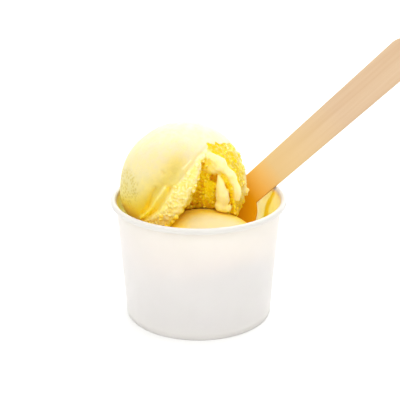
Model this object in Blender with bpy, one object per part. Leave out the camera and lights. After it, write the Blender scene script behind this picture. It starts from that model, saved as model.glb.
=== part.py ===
"""Paper tub with two scoops of pale yellow ice cream and a flat wooden spoon.

Metres, +Z up. Everything is shaped about the tub's axis, with the table at z = 0. At the end one
empty carries all pieces so that the middle of the whole part's footprint lies at the origin.
The torn side of the upper scoop faces -Y, and the spoon's handle leans out towards +X.
"""

import math
from itertools import product

import bpy
import numpy as np
from mathutils import Euler, Vector

MM = 0.001

# Paper tub, a 76 mm rim on a 63 mm foot
RIM_RADIUS = 38.0 * MM
ROLL_RADIUS = 1.3 * MM
TUB_HEIGHT = 53.1 * MM
FOOT_RADIUS = 31.7 * MM
WALL_TOP_RADIUS = 35.7 * MM
PAPER = 0.5 * MM
HEM_WIDTH = 1.7 * MM
HEM_HEIGHT = 4.8 * MM
HEM_CHAMFER = 0.3 * MM
BASE_THICKNESS = 0.6 * MM
ROUND_SEGMENTS = 64
ROLL_SEGMENTS = 9
# the roll runs from under its outer side to its inner side, and ends above the wall's own edge
ROLL_START = math.radians(-115.0)
ROLL_END = math.radians(180.0)
ROLL_FOOT_SHARE = 0.75

# Room between pieces that rest on each other: rigid ones, and ice cream against anything
FIT = 0.3 * MM
BED = 0.6 * MM

# Lower scoop: pressed against the front wall, with a broad foot behind
LOW_CENTRE = np.array((2.0, -11.0, 28.3)) * MM
LOW_SEMI = np.array((27.0, 22.0, 22.0)) * MM
LOW_FOOT_CENTRE = np.array((1.0, -4.5, 22.5)) * MM
LOW_FOOT_SEMI = np.array((28.0, 27.0, 19.0)) * MM
LOW_BLEND = 6.0 * MM

# Upper scoop: a ball from a 54 mm disher, its torn side turned to the viewer and up by FACE_TILT
BALL_CENTRE = np.array((-6.3, 5.0, 57.2)) * MM
BALL_RADIUS = 27.3 * MM
FACE_TILT = math.radians(20.9)
LUMP_HEIGHT = 0.35 * MM
LUMP_SIZE = 16.0 * MM

# Outlines on the ball as (u, v): mm to the right of its middle and above it, seen square to the face
FLAP_EDGE = [
    (-8.0, -34.0), (-6.1, -17.8), (-3.0, -14.6), (-0.3, -12.0), (-0.1, -10.2), (1.9, -8.8),
    (3.0, -6.8), (4.2, -3.7), (5.2, -1.3), (5.9, 1.5), (6.6, 5.0), (8.7, 9.4), (10.5, 12.8),
    (10.6, 16.1),
]
TORN_OUTLINE = FLAP_EDGE + [(15.3, 16.4), (20.6, 16.3), (34.0, 17.5), (34.0, -34.0)]
SKIRT_LINE = [
    (9.4, 14.5), (3.5, 9.8), (-1.4, 1.8), (-5.1, -2.9), (-7.5, -7.4), (-10.0, -11.1),
    (-13.1, -13.0), (-16.1, -14.9), (-23.0, -19.0),
]
SKIRT_OUTLINE = FLAP_EDGE + SKIRT_LINE + [(-26.0, -34.0)]
BROAD_GROOVE = [
    (3.6, 13.4), (0.4, 9.4), (-2.2, 6.6), (-4.0, 3.2), (-6.2, -0.8), (-10.0, -4.4), (-13.8, -9.2),
]
LEFT_GROOVE = [(-11.4, -2.6), (-12.6, -4.2), (-14.9, -10.8), (-17.0, -12.6)]
FOLD_RIDGE = [(-7.5, -2.1), (-10.6, -6.3), (-13.8, -11.1), (-18.1, -14.9)]
FOLD_GROOVE = [(-5.4, -2.2), (-5.9, -4.2), (-8.8, -8.0), (-11.1, -11.1), (-14.0, -13.2)]
# path, depth (a ridge is negative) and half width of each line pressed into the smooth skin
SKIN_LINES = [
    (BROAD_GROOVE, 1.9 * MM, 3.6 * MM),
    (LEFT_GROOVE, 0.7 * MM, 1.1 * MM),
    (FOLD_RIDGE, -0.7 * MM, 0.7 * MM),
    (FOLD_GROOVE, 0.9 * MM, 0.9 * MM),
]
# the crumbly skirt's upper border is a fine groove, and the skirt stands proud of the skin
SKIRT_GROOVE_DEPTH = 0.3 * MM
SKIRT_GROOVE_WIDTH = 0.8 * MM
SKIRT_RISE = 0.5 * MM

# Where the ball is flatter or fuller than a sphere: middle (u, v, w), height and reach
FLAT_SHOULDER = (np.array((-15.5, 20.5, 7.0)) * MM, -1.0 * MM, 10.0 * MM)
FULL_SIDE = (np.array((-26.0, -8.0, 4.0)) * MM, 0.9 * MM, 7.0 * MM)

# The torn side: a shallow crumbly rind, and below it a steep crumbly face that runs in to the foot.
# Outside the torn outline the rind drops away under the skin.
RIND_DEPTH = 0.6 * MM
RIND_DROP = 2.5 * MM
RIND_DROP_OVER = (-0.3 * MM, 1.5 * MM)
RIND_ROUGHNESS = 0.7
FACE_DEPTH = 14.0 * MM
FACE_DEPTH_AT = 8.0 * MM
FACE_SLOPE_UP = 0.75
FACE_SLOPE_RIGHT = 0.3
FACE_LUMP_HEIGHT = 1.3 * MM
FACE_LUMP_SIZE = 6.0 * MM
EDGE_JAG = 0.9 * MM
EDGE_JAG_SIZE = 2.4 * MM
CRUMB_HEIGHT = 1.3 * MM
CRUMB_SIZE = 3.0 * MM
SKIRT_CRUMB_HEIGHT = 0.5 * MM
# share of the large crumbs and of the fine lumps on them, on the torn side and on the skirt
CRUMB_SHARES = (0.7, 0.4)
SKIRT_SHARES = (1.0, 0.6)
FINE_SHARE_OF_SIZE = 0.55

# Curls left standing on the torn side: (u, v, w, radius) in mm, w towards the viewer
ARCH_CURL = [
    (8.4, 11.8, 21.4, 1.0), (10.9, 11.2, 21.5, 1.4), (12.8, 10.1, 21.0, 2.0), (15.3, 8.1, 20.2, 2.3),
    (17.2, 6.2, 19.3, 1.8), (19.4, 4.0, 17.9, 2.3), (21.2, 1.3, 16.4, 2.0), (22.2, -2.1, 14.9, 1.7),
    (22.2, -5.0, 13.7, 1.5), (21.9, -6.7, 12.9, 1.1),
]
HANGING_CURL = [
    (14.6, 2.9, 18.4, 0.7), (15.3, -0.8, 17.2, 1.9), (16.4, -5.6, 14.8, 2.9), (16.7, -9.3, 12.4, 3.2),
]
HANGING_CURL_FLATNESS = 1.35
HOLLOW_MOUND = [(9.4, 9.4, 18.8, 2.4), (11.2, 7.0, 18.6, 3.0)]
EDGE_TIP = [(23.6, -3.2, 3.0, 3.0), (27.3, -2.9, 1.2, 1.0)]
# Hollows cut into the torn side: a hole below the arch, and the gap between the two curls
DARK_HOLE = [(12.3, 3.4, 20.0, 1.5), (13.4, 2.4, 15.5, 1.2)]
CURL_GAP = [
    (16.6, 2.6, 19.2, 1.5), (18.2, 0.2, 18.2, 1.9), (19.4, -3.0, 16.6, 1.7), (20.0, -6.4, 15.0, 1.2),
]
CURL_BLEND = 0.8 * MM
TIP_BLEND = 1.6 * MM
SHELL_BLEND = 0.4 * MM
# how far behind the ball's middle the torn side ends
TORN_BACK = 6.0 * MM
FRONT_FADE = (-4.0 * MM, 4.0 * MM)

# Grid steps for the two scoops, the share of triangles kept after thinning, and the box of each grid
UPPER_STEP = 1.25 * MM
UPPER_KEPT = 0.32
UPPER_HEIGHTS = (20.0 * MM, 90.0 * MM)
LOWER_STEP = 1.6 * MM
LOWER_KEPT = 0.14
LOWER_HEIGHTS = (2.0 * MM, 56.0 * MM)
GRID_REACH = 1.2 * RIM_RADIUS

# Wooden spoon, measured along its length from the bowl's tip
SPOON_LENGTH = 140.0 * MM
SPOON_THICKNESS = 1.8 * MM
BOWL_LENGTH = 43.4 * MM
BOWL_HALF_WIDTH = 15.0 * MM
BOWL_SQUARENESS = 2.3
BOWL_DISH = 1.4 * MM
NECK_HALF_WIDTH = 6.1 * MM
END_HALF_WIDTH = 7.7 * MM
SPOON_EDGE = 0.4 * MM
SPOON_STATIONS = 44
RIM_REST = 54.0 * MM
SPOON_HEADING = math.radians(3.5)
SPOON_INCLINATION = math.radians(42.7)
SPOON_ROLL = math.radians(62.1)
# where the spoon's lower edge lies on the rim's crown, round from +X
REST_ANGLE = math.radians(19.8)

CREAM = (0.98, 0.90, 0.52, 1.0)
PAPER_WHITE = (0.93, 0.92, 0.89, 1.0)
BIRCH = (0.86, 0.66, 0.42, 1.0)


# ---------------------------------------------------------------- helpers


def clear_scene():
    for obj in list(bpy.data.objects):
        bpy.data.objects.remove(obj, do_unlink=True)


def material(name, colour, roughness):
    made = bpy.data.materials.new(name)
    made.use_nodes = True
    shader = made.node_tree.nodes["Principled BSDF"]
    shader.inputs["Base Color"].default_value = colour
    shader.inputs["Roughness"].default_value = roughness
    shader.inputs["Metallic"].default_value = 0.0
    return made


def object_from(name, points, faces, finish, carrier, crease_deg=40.0):
    """A named object from points and faces, shaded smooth, carried by the empty."""
    mesh = bpy.data.meshes.new(name)
    mesh.from_pydata([tuple(p) for p in points], [], [tuple(f) for f in faces])
    mesh.materials.append(finish)
    mesh.shade_smooth()
    mesh.set_sharp_from_angle(angle=math.radians(crease_deg))
    obj = bpy.data.objects.new(name, mesh)
    bpy.context.collection.objects.link(obj)
    obj.parent = carrier
    return obj


def turned(profile, segments):
    """Points and faces of a closed (radius, height) outline turned about the Z axis.

    The outline runs so that the solid lies on its left. A point on the axis becomes a pole.
    """
    points = []
    rows = []
    for radius, height in profile:
        if radius == 0.0:
            rows.append([len(points)] * segments)
            points.append((0.0, 0.0, height))
            continue
        rows.append(list(range(len(points), len(points) + segments)))
        for i in range(segments):
            angle = 2.0 * math.pi * i / segments
            points.append((radius * math.cos(angle), radius * math.sin(angle), height))
    faces = []
    for lower, upper in zip(rows, rows[1:] + rows[:1]):
        for i in range(segments):
            j = (i + 1) % segments
            corners = list(dict.fromkeys((lower[i], lower[j], upper[j], upper[i])))
            if len(corners) > 2:
                faces.append(corners)
    return points, faces


# ---------------------------------------------------------------- noise


def lattice_random(cell, seed):
    """One number from 0 to 1 for each whole-number cell (N, 3)."""
    x, y, z = (cell[..., i].astype(np.uint64) for i in range(3))
    mixed = x * np.uint64(73856093) ^ y * np.uint64(19349663) ^ z * np.uint64(83492791)
    mixed = (mixed + np.uint64(seed) * np.uint64(2654435761)) & np.uint64(0xFFFFFFFF)
    mixed = (mixed ^ (mixed >> np.uint64(13))) * np.uint64(1274126177) & np.uint64(0xFFFFFFFF)
    mixed = (mixed ^ (mixed >> np.uint64(16))) * np.uint64(2246822519) & np.uint64(0xFFFFFFFF)
    return (mixed ^ (mixed >> np.uint64(15))).astype(float) / 4294967295.0


def soft_noise(points, size, seed):
    """Smooth noise from -1 to 1 with bumps about size across."""
    scaled = points / size
    cell = np.floor(scaled).astype(np.int64)
    part = scaled - cell
    part = part * part * (3.0 - 2.0 * part)
    total = np.zeros(len(points))
    for corner in product((0, 1), repeat=3):
        weight = np.prod(np.where(corner, part, 1.0 - part), axis=1)
        total += weight * lattice_random(cell + corner, seed)
    return 2.0 * total - 1.0


def crumb_noise(points, size, seed):
    """Rounded crumbs, 1 at a crumb's middle and about -0.6 in the cracks between them."""
    scaled = points / size
    cell = np.floor(scaled).astype(np.int64)
    nearest = np.full(len(points), 9.0)
    for corner in product((-1, 0, 1), repeat=3):
        there = cell + corner
        middle = np.stack([there[:, i] + lattice_random(there, seed + i) for i in range(3)], axis=1)
        nearest = np.minimum(nearest, ((scaled - middle) ** 2).sum(axis=1))
    return 1.0 - 1.9 * np.sqrt(nearest)


# ---------------------------------------------------------------- distance fields, negative inside


def soft_min(a, b, blend):
    near = np.maximum(blend - np.abs(a - b), 0.0)
    return np.minimum(a, b) - near * near / (4.0 * blend)


def soft_max(a, b, blend):
    return -soft_min(-a, -b, blend)


def soft_step(value, low, high):
    t = np.clip((value - low) / (high - low), 0.0, 1.0)
    return t * t * (3.0 - 2.0 * t)


def ellipsoid(points, centre, semi):
    scaled = (points - centre) / semi
    length = np.linalg.norm(scaled, axis=1)
    steep = np.linalg.norm(scaled / semi, axis=1)
    return length * (length - 1.0) / np.maximum(steep, 1e-9)


def path_distance(flat, path):
    """Distance in the (u, v) plane to an open path given in mm."""
    nearest = np.full(len(flat), np.inf)
    corners = np.array(path) * MM
    for start, end in zip(corners, corners[1:]):
        run = end - start
        along = np.clip(((flat - start) @ run) / (run @ run), 0.0, 1.0)
        gap = np.linalg.norm(flat - start - along[:, None] * run, axis=1)
        nearest = np.minimum(nearest, gap)
    return nearest


def outline_distance(flat, outline):
    """Signed distance in the (u, v) plane to a closed outline given in mm, negative inside."""
    distance = path_distance(flat, outline + outline[:1])
    corners = np.array(outline) * MM
    inside = np.zeros(len(flat), bool)
    for (x1, y1), (x2, y2) in zip(corners, np.roll(corners, -1, axis=0)):
        spans = (y1 > flat[:, 1]) != (y2 > flat[:, 1])
        rise = y2 - y1 if y2 != y1 else 1.0
        crossing = x1 + (flat[:, 1] - y1) * (x2 - x1) / rise
        inside ^= spans & (flat[:, 0] < crossing)
    return np.where(inside, -distance, distance)


def swept_ball(points, beads, flatness=1.0):
    """A ball whose radius changes along a path of (u, v, w, radius) beads, thinner across w."""
    stretch = np.array((1.0, 1.0, flatness))
    nearest = np.full(len(points), np.inf)
    chain = np.array(beads) * MM
    for start, end in zip(chain, chain[1:]):
        run = (end[:3] - start[:3]) * stretch
        offset = (points - start[:3]) * stretch
        along = np.clip((offset @ run) / (run @ run), 0.0, 1.0)
        radius = start[3] + along * (end[3] - start[3])
        gap = np.linalg.norm(offset - along[:, None] * run, axis=1) - radius
        nearest = np.minimum(nearest, gap)
    return nearest


# ---------------------------------------------------------------- the tub


def wall_radius(height):
    """Outer radius of the conical sidewall at a height."""
    rise = height / (TUB_HEIGHT - ROLL_RADIUS)
    return FOOT_RADIUS + (WALL_TOP_RADIUS - FOOT_RADIUS) * rise


def tub_room(points):
    """Distance field of the space inside the tub, which the rolled rim narrows a little."""
    radius = np.hypot(points[:, 0], points[:, 1])
    wall = radius - (wall_radius(points[:, 2]) - PAPER)
    floor = HEM_HEIGHT + FIT + BASE_THICKNESS - points[:, 2]
    above = points[:, 2] - TUB_HEIGHT
    return np.maximum(np.minimum(wall, -above), floor)


def tub_wall(finish, carrier):
    """Conical sidewall with its rolled rim and the folded hem that the tub stands on."""
    roll_middle = (RIM_RADIUS - ROLL_RADIUS, TUB_HEIGHT - ROLL_RADIUS)
    roll_foot = roll_middle[1] - ROLL_FOOT_SHARE * ROLL_RADIUS
    profile = [
        (FOOT_RADIUS - HEM_WIDTH, 0.0),
        (FOOT_RADIUS - HEM_CHAMFER, 0.0),
        (wall_radius(HEM_CHAMFER), HEM_CHAMFER),
        (wall_radius(HEM_HEIGHT), HEM_HEIGHT),
        (wall_radius(0.5 * TUB_HEIGHT), 0.5 * TUB_HEIGHT),
        (wall_radius(roll_foot), roll_foot),
    ]
    for i in range(ROLL_SEGMENTS + 1):
        angle = ROLL_START + (ROLL_END - ROLL_START) * i / ROLL_SEGMENTS
        radius = roll_middle[0] + ROLL_RADIUS * math.cos(angle)
        profile.append((radius, roll_middle[1] + ROLL_RADIUS * math.sin(angle)))
    inner_top = roll_foot - 0.5 * ROLL_RADIUS
    profile += [
        (wall_radius(inner_top) - PAPER, inner_top),
        (wall_radius(0.5 * TUB_HEIGHT) - PAPER, 0.5 * TUB_HEIGHT),
        (wall_radius(HEM_HEIGHT) - PAPER, HEM_HEIGHT),
        (FOOT_RADIUS - HEM_WIDTH, HEM_HEIGHT - HEM_CHAMFER),
    ]
    return object_from("cup_wall", *turned(profile, ROUND_SEGMENTS), finish, carrier)


def tub_base(finish, carrier):
    """Recessed bottom disc, carried by the hem's fold."""
    bottom = HEM_HEIGHT + FIT
    radius = wall_radius(bottom) - PAPER - FIT
    profile = [(0.0, bottom), (radius, bottom), (radius, bottom + BASE_THICKNESS)]
    profile.append((0.0, bottom + BASE_THICKNESS))
    return object_from("cup_base", *turned(profile, ROUND_SEGMENTS), finish, carrier)


# ---------------------------------------------------------------- the spoon


def spoon_half_width(along):
    """Half of the spoon's width at each distance from the bowl's tip."""
    reach = np.abs(along - 0.5 * BOWL_LENGTH) / (0.5 * BOWL_LENGTH)
    bowl = np.maximum(1.0 - reach**BOWL_SQUARENESS, 0.0) ** (1.0 / BOWL_SQUARENESS)
    taper = (along - BOWL_LENGTH) / (SPOON_LENGTH - BOWL_LENGTH)
    handle = NECK_HALF_WIDTH + (END_HALF_WIDTH - NECK_HALF_WIDTH) * taper
    to_end = np.clip((SPOON_LENGTH - along) / END_HALF_WIDTH, 0.0, 1.0)
    handle = handle * np.sqrt(1.0 - (1.0 - to_end) ** 2)
    handle = np.where(along > 0.5 * BOWL_LENGTH, handle, 0.0)
    return soft_max(BOWL_HALF_WIDTH * bowl, handle, 1.0 * MM) * (np.maximum(bowl, handle) > 0.0)


def spoon_dish(along, across):
    """How far the bowl's middle is pressed below the flat of the handle."""
    reach = (along - 0.5 * BOWL_LENGTH) / (0.5 * BOWL_LENGTH)
    side = across / BOWL_HALF_WIDTH
    return -BOWL_DISH * np.clip(1.0 - reach**2, 0.0, 1.0) * np.clip(1.0 - side**2, 0.0, 1.0)


def spoon_turn():
    """Rotation that takes +X up the handle, +Y to its upper edge and +Z out of its shown face."""
    return Euler((SPOON_ROLL, -SPOON_INCLINATION, SPOON_HEADING), "XYZ").to_matrix()


def spoon_origin():
    """Where the bowl's tip lies, from the handle's lower edge resting on the rim's crown."""
    crown = RIM_RADIUS - ROLL_RADIUS
    rest = Vector((crown * math.cos(REST_ANGLE), crown * math.sin(REST_ANGLE), TUB_HEIGHT + FIT))
    half = float(spoon_half_width(np.array([RIM_REST]))[0])
    edge = Vector((RIM_REST, -half, -0.5 * SPOON_THICKNESS))
    return rest - spoon_turn() @ edge


def spoon_field(points):
    turn = np.array(spoon_turn())
    local = (points - np.array(spoon_origin())) @ turn
    along, across, out = local.T
    level = spoon_dish(along, across)
    flat = np.abs(out - level) - 0.5 * SPOON_THICKNESS
    side = np.abs(across) - spoon_half_width(np.clip(along, 0.0, SPOON_LENGTH))
    ends = np.maximum(-along, along - SPOON_LENGTH)
    return np.maximum(np.maximum(flat, side), ends)


def spoon_stations():
    """Places along the spoon for its cross-sections, close together at its round ends."""
    turns = np.linspace(0.0, 1.0, SPOON_STATIONS // 2)
    bowl = 0.5 * BOWL_LENGTH * (1.0 - np.cos(math.pi * turns))
    handle = BOWL_LENGTH + (SPOON_LENGTH - BOWL_LENGTH) * np.sin(0.5 * math.pi * turns[1:])
    places = np.concatenate((bowl, handle))
    return places[(places > 0.2 * MM) & (places < SPOON_LENGTH - 0.1 * MM)]


def spoon_shape(grown):
    """Points and faces of the spoon in its own frame, every face moved out by grown."""
    half = 0.5 * SPOON_THICKNESS + grown
    stations = spoon_stations()
    points = []
    rings = []
    for along in stations:
        width = float(spoon_half_width(np.array([along]))[0])
        soft = min(SPOON_EDGE, 0.4 * width)
        flat = width - soft + grown
        edge = width + grown
        ring = [(a * flat, half) for a in (-1.0, -0.5, 0.0, 0.5, 1.0)]
        ring += [(edge, half - soft), (edge, soft - half)]
        ring += [(a * flat, -half) for a in (1.0, 0.5, 0.0, -0.5, -1.0)]
        ring += [(-edge, soft - half), (-edge, half - soft)]
        rings.append(list(range(len(points), len(points) + len(ring))))
        if along == stations[0]:
            along -= grown
        if along == stations[-1]:
            along += grown
        for across, out in ring:
            points.append((along, across, out + float(spoon_dish(along, across))))
    faces = [tuple(rings[0]), tuple(reversed(rings[-1]))]
    for first, second in zip(rings, rings[1:]):
        for i in range(len(first)):
            j = (i + 1) % len(first)
            faces.append((first[i], second[i], second[j], first[j]))
    return points, faces


def spoon(name, grown, finish, carrier):
    """Flat stamped spoon with a slightly dished bowl and softened edges."""
    made = object_from(name, *spoon_shape(grown), finish, carrier, crease_deg=50.0)
    made.rotation_euler = spoon_turn().to_euler()
    made.location = spoon_origin()
    return made


def spoon_slot(finish, carrier):
    """Cutter for the slot that the spoon stands in, a fit wider than the spoon all round."""
    cutter = spoon("spoon_slot", FIT, finish, carrier)
    cutter.hide_render = True
    cutter.display_type = "WIRE"
    return cutter


# ---------------------------------------------------------------- the scoops


def lower_field(points):
    """Squashed scoop on the tub's floor, before its neighbours are cleared from it."""
    scoop = ellipsoid(points, LOW_CENTRE, LOW_SEMI)
    foot = ellipsoid(points, LOW_FOOT_CENTRE, LOW_FOOT_SEMI)
    lumps = LUMP_HEIGHT * soft_noise(points, LUMP_SIZE, 31)
    return soft_min(scoop, foot, LOW_BLEND) - lumps


def face_frame():
    """Rows that turn tub coordinates into (u, v, w) on the upper scoop's torn side."""
    sine, cosine = math.sin(FACE_TILT), math.cos(FACE_TILT)
    return np.array(((1.0, 0.0, 0.0), (0.0, sine, cosine), (0.0, -cosine, sine)))


def upper_field(points):
    """Ball with a smooth pressed skin, a crumbly skirt, a torn side and the curls on it."""
    local = (points - BALL_CENTRE) @ face_frame().T
    flat = local[:, :2]
    towards = local[:, 2]
    radius = np.linalg.norm(local, axis=1)
    crumbs = crumb_noise(local, CRUMB_SIZE, 7)
    fine = soft_noise(local, FINE_SHARE_OF_SIZE * CRUMB_SIZE, 11)
    jag = EDGE_JAG * soft_noise(local, EDGE_JAG_SIZE, 5)
    in_front = soft_step(towards, *FRONT_FADE)

    torn = outline_distance(flat, TORN_OUTLINE) + jag
    skirt_edge = path_distance(flat, SKIRT_LINE)
    skirt = outline_distance(flat, SKIRT_OUTLINE)
    skirt_share = soft_step(-skirt, -0.5 * MM, 1.5 * MM) * in_front
    relief = LUMP_HEIGHT * soft_noise(local, LUMP_SIZE, 3)
    for path, depth, width in SKIN_LINES:
        relief -= in_front * depth * np.exp(-((path_distance(flat, path) / width) ** 2))
    relief -= SKIRT_GROOVE_DEPTH * in_front * np.exp(-((skirt_edge / SKIRT_GROOVE_WIDTH) ** 2))
    skirt_crumbs = SKIRT_SHARES[0] * crumbs + SKIRT_SHARES[1] * fine
    relief += (SKIRT_CRUMB_HEIGHT * skirt_crumbs + SKIRT_RISE) * skirt_share
    for middle, height, reach in (FLAT_SHOULDER, FULL_SIDE):
        gap = np.linalg.norm(local - middle, axis=1)
        relief += height * np.exp(-((gap / reach) ** 2))
    skin = radius - BALL_RADIUS - relief

    rough = CRUMB_HEIGHT * (CRUMB_SHARES[0] * crumbs + CRUMB_SHARES[1] * fine)
    rind = radius - (BALL_RADIUS - RIND_DEPTH) - RIND_ROUGHNESS * rough
    rind += RIND_DROP * soft_step(torn, *RIND_DROP_OVER)
    lean = FACE_SLOPE_UP * flat[:, 1] + FACE_SLOPE_RIGHT * (flat[:, 0] - FACE_DEPTH_AT)
    face = (towards - FACE_DEPTH - lean) / math.hypot(1.0, FACE_SLOPE_UP, FACE_SLOPE_RIGHT)
    face = face - rough - FACE_LUMP_HEIGHT * soft_noise(local, FACE_LUMP_SIZE, 19)
    core = soft_max(rind, face, CURL_BLEND)
    for beads in (DARK_HOLE, CURL_GAP):
        core = soft_max(core, -swept_ball(local, beads), CURL_BLEND)
    curls = np.minimum(
        swept_ball(local, ARCH_CURL), swept_ball(local, HANGING_CURL, HANGING_CURL_FLATNESS)
    )
    curls = soft_min(curls, swept_ball(local, HOLLOW_MOUND), CURL_BLEND)
    core = soft_min(core, curls, CURL_BLEND)
    core = soft_min(core, swept_ball(local, EDGE_TIP), TIP_BLEND)
    shell = soft_max(skin, np.minimum(-torn, towards + TORN_BACK), SHELL_BLEND)
    return soft_min(shell, core, SHELL_BLEND)


def lower_scoop_field(points):
    """Lower scoop as it lies: inside the tub and clear of the spoon."""
    field = np.maximum(lower_field(points), tub_room(points) + BED)
    return np.maximum(field, BED - spoon_field(points))


def upper_scoop_field(points):
    """Upper scoop as it lies: on the lower one, inside the rim and clear of the spoon."""
    field = np.maximum(upper_field(points), tub_room(points) + BED)
    field = np.maximum(field, BED - lower_field(points))
    return np.maximum(field, BED - spoon_field(points))


# ---------------------------------------------------------------- solid from a field


def fill_pinches(inside):
    """Fills corners until solid corners nowhere meet only across a diagonal."""
    changed = True
    while changed:
        before = inside.sum()
        for a, b in ((0, 1), (0, 2), (1, 2)):
            near, far = slice(None, -1), slice(1, None)
            corner = {}
            for first, second in product((0, 1), repeat=2):
                place = [slice(None)] * 3
                place[a] = far if first else near
                place[b] = far if second else near
                corner[first, second] = tuple(place)
            for first in (0, 1):
                one, two = inside[corner[0, first]], inside[corner[1, 1 - first]]
                other = inside[corner[0, 1 - first]] | inside[corner[1, first]]
                pinch = one & two & ~other
                inside[corner[0, 1 - first]] |= pinch
        cube = {}
        for place in product((0, 1), repeat=3):
            cube[place] = tuple(slice(1, None) if i else slice(None, -1) for i in place)
        for place in product((0, 1), repeat=3):
            opposite = tuple(1 - i for i in place)
            pair = inside[cube[place]] & inside[cube[opposite]]
            rest = [inside[cube[k]] for k in cube if k not in (place, opposite)]
            lone = pair & ~np.logical_or.reduce(rest)
            beside = (1 - place[0], place[1], place[2])
            inside[cube[beside]] |= lone
            empty_pair = ~inside[cube[place]] & ~inside[cube[opposite]]
            sealed = empty_pair & np.logical_and.reduce(rest)
            inside[cube[place]] |= sealed
        changed = inside.sum() != before
    return inside


def largest_body(inside):
    """Keeps the one connected solid that holds the most grid corners."""
    labels = np.where(inside, np.arange(1, inside.size + 1).reshape(inside.shape), 0)
    while True:
        grown = labels.copy()
        for axis in range(3):
            ahead = [slice(None)] * 3
            behind = [slice(None)] * 3
            ahead[axis], behind[axis] = slice(1, None), slice(None, -1)
            ahead, behind = tuple(ahead), tuple(behind)
            grown[ahead] = np.maximum(grown[ahead], grown[behind])
            grown[behind] = np.maximum(grown[behind], grown[ahead])
        grown = np.where(inside, grown, 0)
        if (grown == labels).all():
            break
        labels = grown
    names, counts = np.unique(labels[labels > 0], return_counts=True)
    return labels == names[counts.argmax()]


def solid_from_field(field, low, high, step):
    """Points and quads of the closed surface where the field is zero.

    Each grid cell that the surface passes through holds one point, at the mean of the places
    where the surface crosses the cell's edges. Each crossed grid edge makes one quad.
    """
    axes = [np.arange(low[i], high[i] + step, step) for i in range(3)]
    grid = np.stack(np.meshgrid(*axes, indexing="ij"), axis=-1)
    shape = grid.shape[:3]
    values = field(grid.reshape(-1, 3)).reshape(shape)
    inside = largest_body(fill_pinches(values < 0.0))
    inside = ~largest_body(~inside)
    least = 0.05 * step
    values = np.where(inside, np.minimum(values, -least), np.maximum(values, least))

    cells = tuple(n - 1 for n in shape)
    total = np.zeros(cells + (3,))
    count = np.zeros(cells)
    crossings = []
    for axis in range(3):
        first = [slice(None)] * 3
        second = [slice(None)] * 3
        first[axis], second[axis] = slice(None, -1), slice(1, None)
        start, end = values[tuple(first)], values[tuple(second)]
        crossed = (start < 0.0) != (end < 0.0)
        share = np.where(crossed, start / np.where(crossed, start - end, 1.0), 0.0)
        place = grid[tuple(first)].copy()
        place[..., axis] += share * step
        place *= crossed[..., None]
        crossings.append(crossed & (start < 0.0))
        crossings.append(crossed & (start >= 0.0))
        others = [i for i in range(3) if i != axis]
        for shifts in product((0, 1), repeat=2):
            edge = [slice(None)] * 3
            for other, shift in zip(others, shifts):
                edge[other] = slice(shift, cells[other] + shift)
            total += place[tuple(edge)]
            count += crossed[tuple(edge)]

    used = count > 0
    index = np.full(cells, -1)
    index[used] = np.arange(used.sum())
    points = total[used] / count[used][:, None]

    quads = []
    for axis in range(3):
        a, b = (axis + 1) % 3, (axis + 2) % 3
        for leaving, crossed in zip((True, False), crossings[2 * axis : 2 * axis + 2]):
            where = np.argwhere(crossed)
            ring = []
            for step_a, step_b in ((0, 0), (-1, 0), (-1, -1), (0, -1)):
                cell = where.copy()
                cell[:, a] += step_a
                cell[:, b] += step_b
                ring.append(index[tuple(cell.T)])
            quad = np.stack(ring, axis=1)
            quads.append(quad if leaving else quad[:, ::-1])
    return points, np.concatenate(quads)


def scoop(name, field, heights, step, kept, slot, finish, carrier):
    """A scoop from its field, thinned to the triangles its shape needs, then slotted."""
    low = (-GRID_REACH, -GRID_REACH, heights[0])
    high = (GRID_REACH, GRID_REACH, heights[1])
    points, quads = solid_from_field(field, low, high, step)
    made = object_from(name, points, quads, finish, carrier, crease_deg=180.0)
    thin = made.modifiers.new("thin", "DECIMATE")
    thin.ratio = kept
    thin.use_collapse_triangulate = True
    cut = made.modifiers.new("slot", "BOOLEAN")
    cut.operation = "DIFFERENCE"
    cut.object = slot
    return made


# ---------------------------------------------------------------- assembly


def centre_on_footprint(carrier):
    """Moves the carrier so that the whole part's bounding box stands centred on the origin."""
    bpy.context.view_layer.update()
    corners = []
    for obj in carrier.children:
        if obj.hide_render:
            continue
        shape = obj.evaluated_get(bpy.context.evaluated_depsgraph_get())
        mesh = shape.to_mesh()
        corners += [obj.matrix_world @ v.co for v in mesh.vertices]
        shape.to_mesh_clear()
    place = np.array(corners)
    middle = 0.5 * (place.min(axis=0) + place.max(axis=0))
    carrier.location = (-middle[0], -middle[1], 0.0)


def main():
    clear_scene()
    carrier = bpy.data.objects.new("cup_of_ice_cream", None)
    bpy.context.collection.objects.link(carrier)
    paper = material("white_paper", PAPER_WHITE, 0.55)
    cream = material("ice_cream", CREAM, 0.45)
    wood = material("birch", BIRCH, 0.6)

    tub_wall(paper, carrier)
    tub_base(paper, carrier)
    spoon("spoon", 0.0, wood, carrier)
    slot = spoon_slot(wood, carrier)
    scoop(
        "scoop_lower", lower_scoop_field, LOWER_HEIGHTS, LOWER_STEP, LOWER_KEPT, slot, cream, carrier
    )
    scoop(
        "scoop_upper", upper_scoop_field, UPPER_HEIGHTS, UPPER_STEP, UPPER_KEPT, slot, cream, carrier
    )
    centre_on_footprint(carrier)


main()
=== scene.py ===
"""Paper tub of pale yellow ice cream with a flat wooden spoon, laid out as an add-on.

Metres, +Z up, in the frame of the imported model. The forms are worked out about the tub's own axis
and then moved to where the tub stands. The torn side of the upper scoop faces -Y.
"""

import math
from itertools import product

import bpy
import numpy as np
from bpy.props import FloatProperty, FloatVectorProperty, IntProperty, PointerProperty
from mathutils import Euler, Matrix, Vector


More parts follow.
